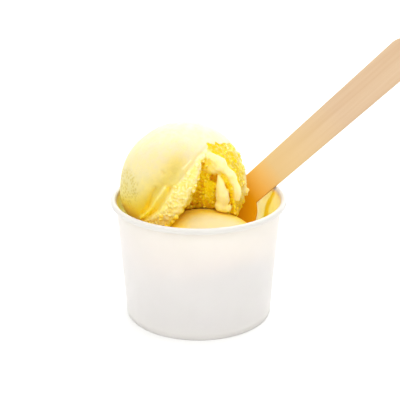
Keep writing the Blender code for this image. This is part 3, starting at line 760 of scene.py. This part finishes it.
def wood_material(spoon):
    """Plain birch, its grain running along the spoon, yellower towards its bowl and orange with painted
    shade at the bowl.
    """
    made, nodes, shader, _ = finish_material("plain birch")
    lie = nodes.value("ShaderNodeAttribute", "Vector", attribute_name="lie")
    fibres = nodes.add("ShaderNodeMapping", {"Vector": lie, "Scale": (18.0, 700.0, 300.0)})
    bands = nodes.add("ShaderNodeMapping", {"Vector": lie, "Scale": (6.0, 120.0, 60.0)})
    fine = nodes.noise(fibres, 1.0, 3.0, 0.6)
    share = (fine * 0.6 + nodes.noise(bands, 1.0, 2.0) * 0.4).span(0.35, 0.65)
    along = nodes.part(lie, "X")
    tone = nodes.mix(share, spoon.dark_wood, spoon.light_wood)
    # Yellower towards the bowl, then orange painted shade at the bowl
    tone = nodes.mix(along.span(96.0 * MM, 52.0 * MM), tone, spoon.yellow_wood)
    tone = nodes.mix(along.span(59.0 * MM, 42.0 * MM), tone, spoon.shaded_wood)
    nodes.feed(shader, {
        "Base Color": tone, "Roughness": 0.6, "Specular IOR Level": 0.1,
        "Normal": nodes.bump(fine, 0.05 * MM, 0.5),
    })
    return made


def shape_tree(name, source, inputs):
    """A geometry tree that takes a shape and numbers: input identifiers, nodes and given values."""
    tree = bpy.data.node_groups.new(name, "GeometryNodeTree")
    face = tree.interface
    face.new_socket(name=source, in_out="INPUT", socket_type="NodeSocketGeometry")
    sides = {}
    for label, kind in inputs.items():
        sides[label] = face.new_socket(name=label, in_out="INPUT", socket_type=kind).identifier
    face.new_socket(name="Geometry", in_out="OUTPUT", socket_type="NodeSocketGeometry")
    nodes = Nodes(tree)
    return sides, nodes, nodes.add("NodeGroupInput").outputs


def sweep_tree(finish):
    """Geometry nodes that sweep a closed outline round a circle."""
    inputs = {"Radius": "NodeSocketFloat", "Segments": "NodeSocketInt"}
    sides, nodes, given = shape_tree("sweep round", "Outline", inputs)
    feeds = {"Resolution": given["Segments"], "Radius": given["Radius"]}
    circle = nodes.add("GeometryNodeCurvePrimitiveCircle", feeds)
    outline = nodes.add("GeometryNodeMeshToCurve", {"Mesh": given["Outline"]})
    swept = nodes.add("GeometryNodeCurveToMesh", {"Curve": circle, "Profile Curve": outline})
    real = nodes.add("GeometryNodeRealizeInstances", {"Geometry": swept})
    painted = nodes.add("GeometryNodeSetMaterial", {"Geometry": real, "Material": finish})
    nodes.add("NodeGroupOutput", {"Geometry": painted})
    return nodes.tree, sides


def crumb_tree(finish):
    """Geometry nodes that scatter small crumbs over the torn side and the flap of a scoop."""
    inputs = {
        "Density": "NodeSocketFloat", "Smallest": "NodeSocketFloat", "Largest": "NodeSocketFloat",
        "Seed": "NodeSocketInt",
    }
    sides, nodes, given = shape_tree("scatter crumbs", "Scoop", inputs)
    seed = given["Seed"]
    share = nodes.value(
        "GeometryNodeInputNamedAttribute", "Attribute", {"Name": "grain"}, data_type="FLOAT"
    )
    feeds = {"Mesh": given["Scoop"], "Density": share * given["Density"], "Seed": seed}
    spots = nodes.add("GeometryNodeDistributePointsOnFaces", feeds)
    ball = nodes.add("GeometryNodeMeshIcoSphere", {"Radius": 1.0, "Subdivisions": 2})
    feeds = {"Min_001": given["Smallest"], "Max_001": given["Largest"], "Seed": seed}
    size = nodes.add("FunctionNodeRandomValue", feeds, data_type="FLOAT")
    feeds = {"Min": (0.6, 0.5, 0.4), "Max": (1.4, 1.2, 1.0), "Seed": seed}
    uneven = nodes.add("FunctionNodeRandomValue", feeds, data_type="FLOAT_VECTOR")
    sized = nodes.add("ShaderNodeVectorMath", {"Vector": uneven, "Scale": size}, operation="SCALE")
    feeds = {
        "Points": spots, "Instance": ball, "Rotation": spots.outputs["Rotation"], "Scale": sized,
    }
    real = nodes.add(
        "GeometryNodeRealizeInstances", {"Geometry": nodes.add("GeometryNodeInstanceOnPoints", feeds)}
    )
    place = nodes.add("GeometryNodeInputPosition")
    feeds = {"Vector": place, "Scale": 1700.0, "Detail": 2.0}
    swirl = nodes.value("ShaderNodeTexNoise", "Color", feeds)
    feeds = {"Vector": swirl, "Vector_001": (0.5, 0.5, 0.5)}
    centred = nodes.add("ShaderNodeVectorMath", feeds, operation="SUBTRACT")
    feeds = {"Vector": centred, "Scale": 1.2 * MM}
    push = nodes.add("ShaderNodeVectorMath", feeds, operation="SCALE")
    moved = nodes.add("GeometryNodeSetPosition", {"Geometry": real, "Offset": push})
    smooth = nodes.add("GeometryNodeSetShadeSmooth", {"Geometry": moved})
    painted = nodes.add("GeometryNodeSetMaterial", {"Geometry": smooth, "Material": finish})
    nodes.add("NodeGroupOutput", {"Geometry": painted})
    return nodes.tree, sides


def plain_mesh(carrier, tree, values):
    """Runs a node tree on an object, sets its inputs and turns the result into a plain mesh."""
    runner = carrier.modifiers.new("shape", "NODES")
    runner.node_group = tree
    for identifier, value in values.items():
        runner[identifier] = value
    bpy.context.view_layer.update()
    shape = carrier.evaluated_get(bpy.context.evaluated_depsgraph_get())
    made = bpy.data.meshes.new_from_object(shape)
    carrier.modifiers.remove(runner)
    old = carrier.data
    carrier.data = made
    name = old.name
    bpy.data.meshes.remove(old)
    made.name = name


# --- the tub


def wall_radius(tub, height):
    """Outer radius of the conical sidewall at a height."""
    rise = height / (tub.height - tub.roll_radius)
    return tub.foot_radius + (tub.top_radius - tub.foot_radius) * rise


def tub_room(tub, points):
    """Distance field of the space inside the tub."""
    radius = np.hypot(points[:, 0], points[:, 1])
    wall = radius - (wall_radius(tub, points[:, 2]) - tub.paper)
    floor = tub.hem_height + FIT + tub.base_thickness - points[:, 2]
    above = points[:, 2] - tub.height
    return np.maximum(np.minimum(wall, -above), floor)


def wall_profile(tub):
    """Closed (radius, height) outline of the sidewall, its rolled rim and its folded hem."""
    chamfer = 0.3 * MM
    middle = (tub.rim_radius - tub.roll_radius, tub.height - tub.roll_radius)
    roll_foot = middle[1] - 0.75 * tub.roll_radius
    outline = [
        (tub.foot_radius - tub.hem_width, 0.0),
        (tub.foot_radius - chamfer, 0.0),
        (wall_radius(tub, chamfer), chamfer),
    ]
    for share in np.linspace(0.06, 1.0, 9):
        outline.append((wall_radius(tub, share * roll_foot), share * roll_foot))
    for turn in np.linspace(math.radians(-122.0), math.radians(180.0), 26):
        outline.append((
            middle[0] + tub.roll_radius * math.cos(turn), middle[1] + tub.roll_radius * math.sin(turn)
        ))
    inner_top = roll_foot - 0.5 * tub.roll_radius
    for height in np.linspace(inner_top, tub.hem_height, 44):
        outline.append((wall_radius(tub, height) - tub.paper, height))
    outline.append((tub.foot_radius - tub.hem_width, tub.hem_height - chamfer))
    return outline


def wall_smear(points):
    """Share of smear at each point of the inner wall, 1 along its middle."""
    radius = np.hypot(points[:, 0], points[:, 1])
    around = np.arctan2(points[:, 1], points[:, 0])
    line = [(math.radians(angle) * SMEAR_RADIUS / MM, height) for angle, height in SMEAR_LINE]
    gap = path_distance(np.stack([around * radius, points[:, 2]], axis=1), line)
    gap += 0.5 * MM * soft_noise(points, 3.0 * MM, 61)
    return soft_step(SMEAR_HALF_WIDTH - gap, -0.3 * MM, 0.5 * MM)


def disc(radius, low, high, segments):
    """Points and faces of a flat disc between two heights."""
    turns = [2.0 * math.pi * i / segments for i in range(segments)]
    ring = [(radius * math.cos(turn), radius * math.sin(turn)) for turn in turns]
    points = [(0.0, 0.0, low)] + [(x, y, low) for x, y in ring]
    points += [(x, y, high) for x, y in ring] + [(0.0, 0.0, high)]
    pairs = [(1 + i, 1 + (i + 1) % segments) for i in range(segments)]
    faces = [(0, b, a) for a, b in pairs]
    faces += [(a, b, b + segments, a + segments) for a, b in pairs]
    faces += [(a + segments, b + segments, 2 * segments + 1) for a, b in pairs]
    return points, faces


class ICECUP_OT_tub(bpy.types.Operator):
    """Build the paper sidewall with its rolled rim and the recessed bottom disc"""

    bl_idname = "icecup.tub"
    bl_label = "Tub"

    def execute(self, context):
        tub = context.scene.icecup_tub
        finish = shared_material("coated paperboard", paper_material, tub)
        middle = tub.rim_radius - tub.roll_radius
        outline = [(radius - middle, -height, 0.0) for radius, height in wall_profile(tub)]
        mesh = bpy.data.meshes.new("tub_wall")
        mesh.from_pydata(outline, [(i, (i + 1) % len(outline)) for i in range(len(outline))], [])
        wall = linked("tub_wall", mesh)
        tree, sides = sweep_tree(finish)
        plain_mesh(wall, tree, {sides["Radius"]: middle, sides["Segments"]: tub.segments})

        own = np.zeros(3 * len(wall.data.vertices))
        wall.data.vertices.foreach_get("co", own)
        own = own.reshape(-1, 3)
        radius = np.hypot(own[:, 0], own[:, 1])
        inner = (radius < wall_radius(tub, own[:, 2]) - 0.6 * tub.paper) & (own[:, 2] > tub.hem_height)
        inner |= (radius < middle) & (own[:, 2] > tub.height - 1.05 * tub.roll_radius)
        # Film and pool: partly melted ice cream, partly painted yellow bounce light from the scoops
        film = inner * soft_step(tub.height - own[:, 2], 0.5 * MM, 1.1 * MM)
        smear = film * wall_smear(own)
        pool = film * soft_step(-own[:, 0], 5.0 * MM, 20.0 * MM)
        own[:, :2] *= (1.0 - smear * tub.smear_height / np.maximum(radius, MM))[:, None]
        wall.data.vertices.foreach_set("co", own.ravel())
        for mark, values in (("film", film), ("smear", smear), ("pool", pool)):
            add_mark(wall.data, mark, values)
        wall.data.transform(Matrix.Translation(AXIS))
        wall.data.shade_smooth()
        wall.data.set_sharp_from_angle(angle=math.radians(50.0))
        belongs(wall, "paper", "cup_wall")

        bottom = tub.hem_height + FIT
        radius = wall_radius(tub, bottom) - tub.paper - FIT
        points, faces = disc(radius, bottom, bottom + tub.base_thickness, tub.segments)
        base = mesh_object("tub_base", points, faces, finish, crease_deg=40.0)
        belongs(base, "paper", "cup_base")
        return {"FINISHED"}


# --- the spoon


def spoon_half_width(spoon, along):
    """Half of the spoon's width at each distance from the bowl's tip."""
    squareness = 2.3
    reach = np.abs(along - 0.5 * spoon.bowl_length) / (0.5 * spoon.bowl_length)
    bowl = np.maximum(1.0 - reach**squareness, 0.0) ** (1.0 / squareness)
    taper = (along - spoon.bowl_length) / (spoon.length - spoon.bowl_length)
    handle = spoon.neck_half + (spoon.end_half - spoon.neck_half) * taper
    to_end = np.clip((spoon.length - along) / spoon.end_half, 0.0, 1.0)
    handle = handle * np.sqrt(1.0 - (1.0 - to_end) ** 2)
    handle = np.where(along > 0.5 * spoon.bowl_length, handle, 0.0)
    return soft_max(spoon.bowl_half * bowl, handle, 1.0 * MM) * (np.maximum(bowl, handle) > 0.0)


def spoon_dish(spoon, along, across):
    """How far the bowl's middle is pressed below the flat of the handle."""
    reach = (along - 0.5 * spoon.bowl_length) / (0.5 * spoon.bowl_length)
    side = across / spoon.bowl_half
    return -spoon.bowl_dish * np.clip(1.0 - reach**2, 0.0, 1.0) * np.clip(1.0 - side**2, 0.0, 1.0)


def spoon_place(spoon, tub):
    """Turn and tip position of the spoon, its handle's lower edge resting on the rim's crown."""
    rest_along = 54.0 * MM
    rest_angle = math.radians(19.8)
    turns = (math.radians(62.1), -math.radians(42.7), math.radians(3.5))
    turn = Euler(turns, "XYZ").to_matrix()
    crown = tub.rim_radius - tub.roll_radius
    rest = Vector((crown * math.cos(rest_angle), crown * math.sin(rest_angle), tub.height + FIT))
    half = float(spoon_half_width(spoon, np.array([rest_along]))[0])
    edge = Vector((rest_along, -half, -0.5 * spoon.thickness))
    return np.array(turn), np.array(rest - turn @ edge)


def spoon_field(spoon, tub, points):
    turn, tip = spoon_place(spoon, tub)
    along, across, out = ((points - tip) @ turn).T
    flat = np.abs(out - spoon_dish(spoon, along, across)) - 0.5 * spoon.thickness
    side = np.abs(across) - spoon_half_width(spoon, np.clip(along, 0.0, spoon.length))
    ends = np.maximum(-along, along - spoon.length)
    return np.maximum(np.maximum(flat, side), ends)


def spoon_shape(spoon):
    """Points in the spoon's own frame and faces, from one rounded cross-section a station."""
    turns = np.linspace(0.0, 1.0, 70)
    bowl = 0.5 * spoon.bowl_length * (1.0 - np.cos(math.pi * turns))
    handle = spoon.bowl_length + (spoon.length - spoon.bowl_length) * np.sin(0.5 * math.pi * turns[1:])
    places = np.concatenate((bowl, handle))
    places = places[(places > 0.05 * MM) & (places < spoon.length - 0.02 * MM)]
    half = 0.5 * spoon.thickness
    points, rings = [], []
    for along in places:
        width = float(spoon_half_width(spoon, np.array([along]))[0])
        soft = min(0.45 * MM, 0.4 * width)
        ring = []
        for side in (1.0, -1.0):
            ring += [(a * side * (width - soft), side * half) for a in np.linspace(-1.0, 1.0, 13)]
            for turn in side * np.linspace(0.5 * math.pi, -0.5 * math.pi, 9)[1:-1]:
                across = side * (width - soft + soft * math.cos(turn))
                lift = half - soft if turn > 0.0 else soft - half
                ring.append((across, lift + soft * math.sin(turn)))
        rings.append(list(range(len(points), len(points) + len(ring))))
        for across, out in ring:
            points.append((along, across, out + float(spoon_dish(spoon, along, across))))
    faces = [tuple(rings[0]), tuple(reversed(rings[-1]))]
    for first, second in zip(rings, rings[1:]):
        for i in range(len(first)):
            j = (i + 1) % len(first)
            faces.append((first[i], second[i], second[j], first[j]))
    return np.array(points), faces


class ICECUP_OT_spoon(bpy.types.Operator):
    """Build the flat wooden spoon that leans over the rim"""

    bl_idname = "icecup.spoon"
    bl_label = "Spoon"

    def execute(self, context):
        spoon, tub = context.scene.icecup_spoon, context.scene.icecup_tub
        own, faces = spoon_shape(spoon)
        turn, tip = spoon_place(spoon, tub)
        finish = shared_material("plain birch", wood_material, spoon)
        made = mesh_object(
            "wooden_spoon", own @ turn.T + tip, faces, finish, {"lie": own}, crease_deg=60.0
        )
        belongs(made, "wood", "spoon")
        return {"FINISHED"}


# --- the scoops


def all_settings(context):
    scene = context.scene
    return scene.icecup_tub, scene.icecup_spoon, scene.icecup_scoops


def lower_field(points):
    """Squashed scoop on the tub's floor, before its neighbours are cleared from it."""
    scoop = ellipsoid(points, np.array((2.0, -11.0, 28.3)) * MM, np.array((27.0, 22.0, 22.0)) * MM)
    foot = ellipsoid(points, np.array((1.0, -4.5, 22.5)) * MM, np.array((28.0, 27.0, 19.0)) * MM)
    return soft_min(scoop, foot, 6.0 * MM) - 0.35 * MM * soft_noise(points, 16.0 * MM, 31)


def face_frame(scoops):
    """Rows that turn tub coordinates into (u, v, w) on the upper scoop's torn side."""
    sine, cosine = math.sin(scoops.face_tilt), math.cos(scoops.face_tilt)
    return np.array(((1.0, 0.0, 0.0), (0.0, sine, cosine), (0.0, -cosine, sine)))


def upper_parts(scoops, points):
    """The upper scoop's field and the marks that its finish reads."""
    local = (points - BALL_CENTRE) @ face_frame(scoops).T
    flat, towards = local[:, :2], local[:, 2]
    radius = np.linalg.norm(local, axis=1)
    crumbs = crumb_noise(local, scoops.crumb_size, 7)
    small = crumb_noise(local, 0.45 * scoops.crumb_size, 23)
    fine = soft_noise(local, 0.55 * scoops.crumb_size, 11)
    jag = 0.9 * MM * soft_noise(local, 2.4 * MM, 5) + 0.35 * MM * soft_noise(local, 1.0 * MM, 6)
    in_front = soft_step(towards, -4.0 * MM, 4.0 * MM)

    torn = outline_distance(flat, TORN_OUTLINE) + jag
    skirt_share = soft_step(-outline_distance(flat, SKIRT_OUTLINE), -0.5 * MM, 1.5 * MM) * in_front
    flaky = skirt_share * soft_step(-flat[:, 1], -10.0 * MM, -2.5 * MM)
    relief = 0.35 * MM * soft_noise(local, 16.0 * MM, 3)
    for path, depth, width in SKIN_LINES:
        relief -= in_front * depth * bell(path_distance(flat, path), width)
    relief -= 0.3 * MM * in_front * bell(path_distance(flat, SKIRT_LINE), 0.8 * MM)
    tiny = crumb_noise(local, 0.3 * scoops.crumb_size, 29)
    flakes = 0.35 * crumbs + 0.3 * fine + 0.55 * small + 0.3 * tiny
    relief += 0.5 * MM * skirt_share + flakes * MM * np.maximum(flaky, 0.2 * skirt_share)
    for middle, height, reach in (FLAT_SHOULDER, FULL_SIDE):
        relief += height * bell(np.linalg.norm(local - middle, axis=1), reach)
    right, up, half_width, half_height = PIT_PATCH
    patch = np.hypot((flat[:, 0] / MM - right) / half_width, (flat[:, 1] / MM - up) / half_height)
    pits = soft_step(1.25 - patch, 0.0, 0.4) * soft_step(towards, -8.0 * MM, -2.0 * MM)
    skin = radius - scoops.ball_radius - relief

    rough = scoops.crumb_height * (0.7 * crumbs + 0.4 * fine) + 0.65 * MM * small
    rind = radius - (scoops.ball_radius - 0.6 * MM) - 0.7 * rough
    rind += 2.5 * MM * soft_step(torn, -0.3 * MM, 1.5 * MM)
    lean = 0.75 * flat[:, 1] + 0.3 * (flat[:, 0] - 8.0 * MM)
    face = (towards - 14.0 * MM - lean) / math.hypot(1.0, 0.75, 0.3)
    face = face - rough - 1.3 * MM * soft_noise(local, 6.0 * MM, 19)
    core = soft_max(rind, face, BLEND)
    for beads in (DARK_HOLE, CURL_GAP):
        core = soft_max(core, -swept_ball(local, beads), BLEND)
    lumps = 0.65 * MM * soft_noise(local, 4.2 * MM, 71) + 0.3 * MM * soft_noise(local, 1.5 * MM, 72)
    curls = swept_ball(local, ARCH_CURL) - lumps
    hanging = soft_min(
        swept_ball(local, HANGING_CURL, HANGING_CURL_FLATNESS), swept_ball(local, CURL_FOOT), 0.7 * MM
    )
    streaks = 0.32 * MM * soft_noise(local * np.array((1.0, 0.12, 0.6)), 1.1 * MM, 91)
    curls = np.minimum(curls, hanging - 0.5 * lumps - streaks)
    mound = swept_ball(local, HOLLOW_MOUND) - lumps - 0.4 * rough
    core = soft_min(core, soft_min(curls, mound, 1.5 * BLEND), BLEND)
    core = soft_min(core, swept_ball(local, EDGE_TIP), 2.0 * BLEND)
    opening = np.minimum(-torn, towards + 6.0 * MM)
    shell = soft_max(skin, opening, 0.5 * BLEND)
    whole = soft_min(shell, core, 0.5 * BLEND)
    # Painted shade along the broad fold, lighter on its ridges
    fold = bell(path_distance(flat, FOLD_TONE), 5.2 * MM)
    for ridge in (FOLD_RIDGE, SHORT_RIDGE):
        fold *= 1.0 - 0.9 * bell(path_distance(flat, ridge), 0.8 * MM)
    marks = {
        "torn": np.maximum(
            soft_step(shell - core, -0.1 * MM, 0.4 * MM), soft_step(opening, -0.6 * MM, 0.0)
        ),
        "skirt": skirt_share,
        "broken": flaky,
        # Painted highlight near the scoop's edge, on its upper side
        "edge_highlight": soft_step(12.0 * MM - towards, 0.0, 9.0 * MM)
        * soft_step(flat[:, 1], -9.0 * MM, -1.0 * MM),
        "fold": in_front * (1.0 - skirt_share) * fold,
        "pit": pits,
        # Height of the crumbs, which the finish turns into painted light on their tops
        "crumb": np.clip(0.5 + 0.3 * crumbs + 0.45 * small + 0.2 * tiny, 0.0, 1.0),
        "curl": np.maximum(
            1.0 - soft_step(curls, 0.1 * MM, 0.9 * MM), 0.5 - 0.5 * soft_step(mound, 0.1 * MM, 1.0 * MM)
        ),
    }
    return whole, marks


def cleared(tub, spoon, points, value):
    """A scoop's field, kept clear of the tub and the spoon."""
    value = np.maximum(value, tub_room(tub, points) + BED)
    return np.maximum(value, BED - spoon_field(spoon, tub, points))


class ICECUP_OT_lower_scoop(bpy.types.Operator):
    """Build the squashed scoop that lies in the tub"""

    bl_idname = "icecup.lower_scoop"
    bl_label = "Lower scoop"

    def execute(self, context):
        tub, spoon, scoops = all_settings(context)

        def field(points):
            return cleared(tub, spoon, points, lower_field(points))

        low, high = (-35.0 * MM, -35.0 * MM, 3.0 * MM), (35.0 * MM, 35.0 * MM, 53.0 * MM)
        points, quads = surface(field, low, high, scoops.lower_step)
        # The lower scoop's front, where the finish paints light; elsewhere it paints the flap's shade
        front = soft_step(-points[:, 1], 8.0 * MM, 18.0 * MM)
        front *= soft_step(points[:, 0], -13.0 * MM, 0.0)
        marks = {"lower": np.ones(len(points)), "front": front}
        finish = shared_material("yellow ice cream", cream_material, scoops)
        made = mesh_object("lower_scoop", points, quads, finish, marks)
        belongs(made, "ice_cream", "scoop_lower")
        return {"FINISHED"}


class ICECUP_OT_upper_scoop(bpy.types.Operator):
    """Build the upper scoop with its smooth skin, crumbly flap, torn side and curls"""

    bl_idname = "icecup.upper_scoop"
    bl_label = "Upper scoop"

    def execute(self, context):
        tub, spoon, scoops = all_settings(context)

        def field(points):
            ragged = 0.25 * MM * (1.0 - crumb_noise(points, 2.4 * MM, 81))
            above_lower = NEST + ragged - lower_field(points)
            value = np.maximum(upper_parts(scoops, points)[0], above_lower)
            return cleared(tub, spoon, points, value)

        reach = scoops.ball_radius + 3.0 * MM
        step = scoops.fine_step * 1.0
        points, quads = surface(field, BALL_CENTRE - reach, BALL_CENTRE + reach, step)
        marks = upper_parts(scoops, points)[1]
        finish = shared_material("yellow ice cream", cream_material, scoops)
        made = mesh_object("upper_scoop", points, quads, finish, marks)
        belongs(made, "ice_cream", "scoop_upper")
        return {"FINISHED"}


# --- loose crumbs


class ICECUP_OT_crumbs(bpy.types.Operator):
    """Scatter loose crumbs over the upper scoop's torn side and flap"""

    bl_idname = "icecup.crumbs"
    bl_label = "Loose crumbs"

    def execute(self, context):
        scoops = context.scene.icecup_scoops
        mesh = bpy.data.objects["upper_scoop"].data.copy()
        mesh.name = "loose_crumbs"
        size = len(mesh.vertices)
        marks = {}
        for name in ("torn", "broken", "curl"):
            marks[name] = np.zeros(size, np.float32)
            mesh.attributes[name].data.foreach_get("value", marks[name])
        normals = np.zeros(3 * size, np.float32)
        mesh.vertices.foreach_get("normal", normals)
        facing = np.array(face_frame(scoops)[2])
        shown = soft_step(normals.reshape(-1, 3) @ facing, -0.1, 0.2)
        bare = marks["torn"] * (1.0 - marks["curl"])
        add_mark(mesh, "grain", np.maximum(bare, 0.4 * marks["broken"]) * shown)
        made = linked("loose_crumbs", mesh)
        finish = shared_material("ice cream crumbs", crumb_material, scoops)
        tree, sides = crumb_tree(finish)
        plain_mesh(made, tree, {
            sides["Density"]: scoops.loose_density, sides["Smallest"]: 0.35 * scoops.loose_size,
            sides["Largest"]: scoops.loose_size, sides["Seed"]: 4,
        })
        belongs(made, "ice_cream")
        return {"FINISHED"}


# --- stage


def panel_light(name, watts, size, offset):
    """A square light panel, turned to the middle of the cup."""
    middle = AXIS + Vector((0.0, 0.0, 50.0 * MM))
    place = middle + Vector(offset)
    data = bpy.data.lights.new(name, "AREA")
    data.energy = watts
    data.size = size
    made = linked(name, data)
    made.location = place
    made.rotation_euler = (middle - place).to_track_quat("-Z", "Y").to_euler()


class ICECUP_OT_stage(bpy.types.Operator):
    """Set up the white table, the soft studio light and the camera"""

    bl_idname = "icecup.stage"
    bl_label = "Stage"

    def execute(self, context):
        stage = context.scene.icecup_stage
        span = 4.0
        mesh = bpy.data.meshes.new("table")
        corners = [(-span, -span, 0.0), (span, -span, 0.0), (span, span, 0.0), (-span, span, 0.0)]
        mesh.from_pydata(corners, [], [(0, 1, 2, 3)])
        made, nodes, shader, _ = finish_material("white table")

        nodes.feed(shader, {
            "Base Color": stage.floor_white, "Roughness": 0.9, "Specular IOR Level": 0.1
        })
        mesh.materials.append(made)
        floor = linked("table", mesh)
        floor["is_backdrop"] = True

        world = bpy.data.worlds.new("studio")
        world.use_nodes = True
        light = {"Color": (1.0, 1.0, 1.0, 1.0), "Strength": stage.world_light}
        Nodes(world.node_tree).feed(world.node_tree.nodes["Background"], light)
        context.scene.world = world

        panel_light("top panel", stage.top_light, 1.2, (0.15, 0.35, 1.0))
        panel_light("front panel", stage.front_light, 1.0, (-0.15, -0.8, 0.8))
        panel_light("back panel", stage.back_light, 1.0, (0.2, 0.9, 0.5))

        data = bpy.data.cameras.new("camera")
        data.lens = stage.lens
        data.sensor_width = 36.0
        data.clip_start, data.clip_end = 0.01, 20.0
        camera = linked("camera", data)
        tilt = stage.camera_elevation
        aim = AXIS + Vector((stage.aim_side, 0.0, stage.aim_height))
        camera.location = aim + stage.camera_distance * Vector((0.0, -math.cos(tilt), math.sin(tilt)))
        camera.rotation_euler = (0.5 * math.pi - tilt, 0.0, 0.0)
        context.scene.camera = camera
        context.scene.view_settings.view_transform = "Standard"
        return {"FINISHED"}


# --- add-on


OPERATORS = (
    ICECUP_OT_tub, ICECUP_OT_spoon, ICECUP_OT_lower_scoop, ICECUP_OT_upper_scoop,
    ICECUP_OT_crumbs, ICECUP_OT_stage,
)
SETTINGS = {
    "icecup_tub": TubSettings,
    "icecup_spoon": SpoonSettings,
    "icecup_scoops": ScoopSettings,
    "icecup_stage": StageSettings,
}


class ICECUP_PT_panel(bpy.types.Panel):
    """Lists the pieces and the sizes and colours they are built from"""

    bl_idname = "ICECUP_PT_panel"
    bl_label = "Ice cream cup"
    bl_space_type = "VIEW_3D"
    bl_region_type = "UI"
    bl_category = "Ice cream cup"

    def draw(self, context):
        for kind in OPERATORS:
            self.layout.operator(kind.bl_idname)
        for key in SETTINGS:
            group = getattr(context.scene, key)
            box = self.layout.box()
            for name in group.bl_rna.properties.keys():
                if name not in ("rna_type", "name"):
                    box.prop(group, name)


CLASSES = tuple(SETTINGS.values()) + OPERATORS + (ICECUP_PT_panel,)


def register():
    for kind in CLASSES:
        bpy.utils.register_class(kind)
    for key, kind in SETTINGS.items():
        setattr(bpy.types.Scene, key, PointerProperty(type=kind))


def unregister():
    for key in SETTINGS:
        delattr(bpy.types.Scene, key)
    for kind in reversed(CLASSES):
        bpy.utils.unregister_class(kind)


def main():
    register()
    bpy.ops.icecup.tub()
    bpy.ops.icecup.spoon()
    bpy.ops.icecup.lower_scoop()
    bpy.ops.icecup.upper_scoop()
    bpy.ops.icecup.crumbs()
    bpy.ops.icecup.stage()
    boxes = {"cad": CAD_BOX, "visual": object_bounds()}
    {key: [list(corner) for corner in box] for key, box in boxes.items()}


if __name__ == "__main__":
    main()
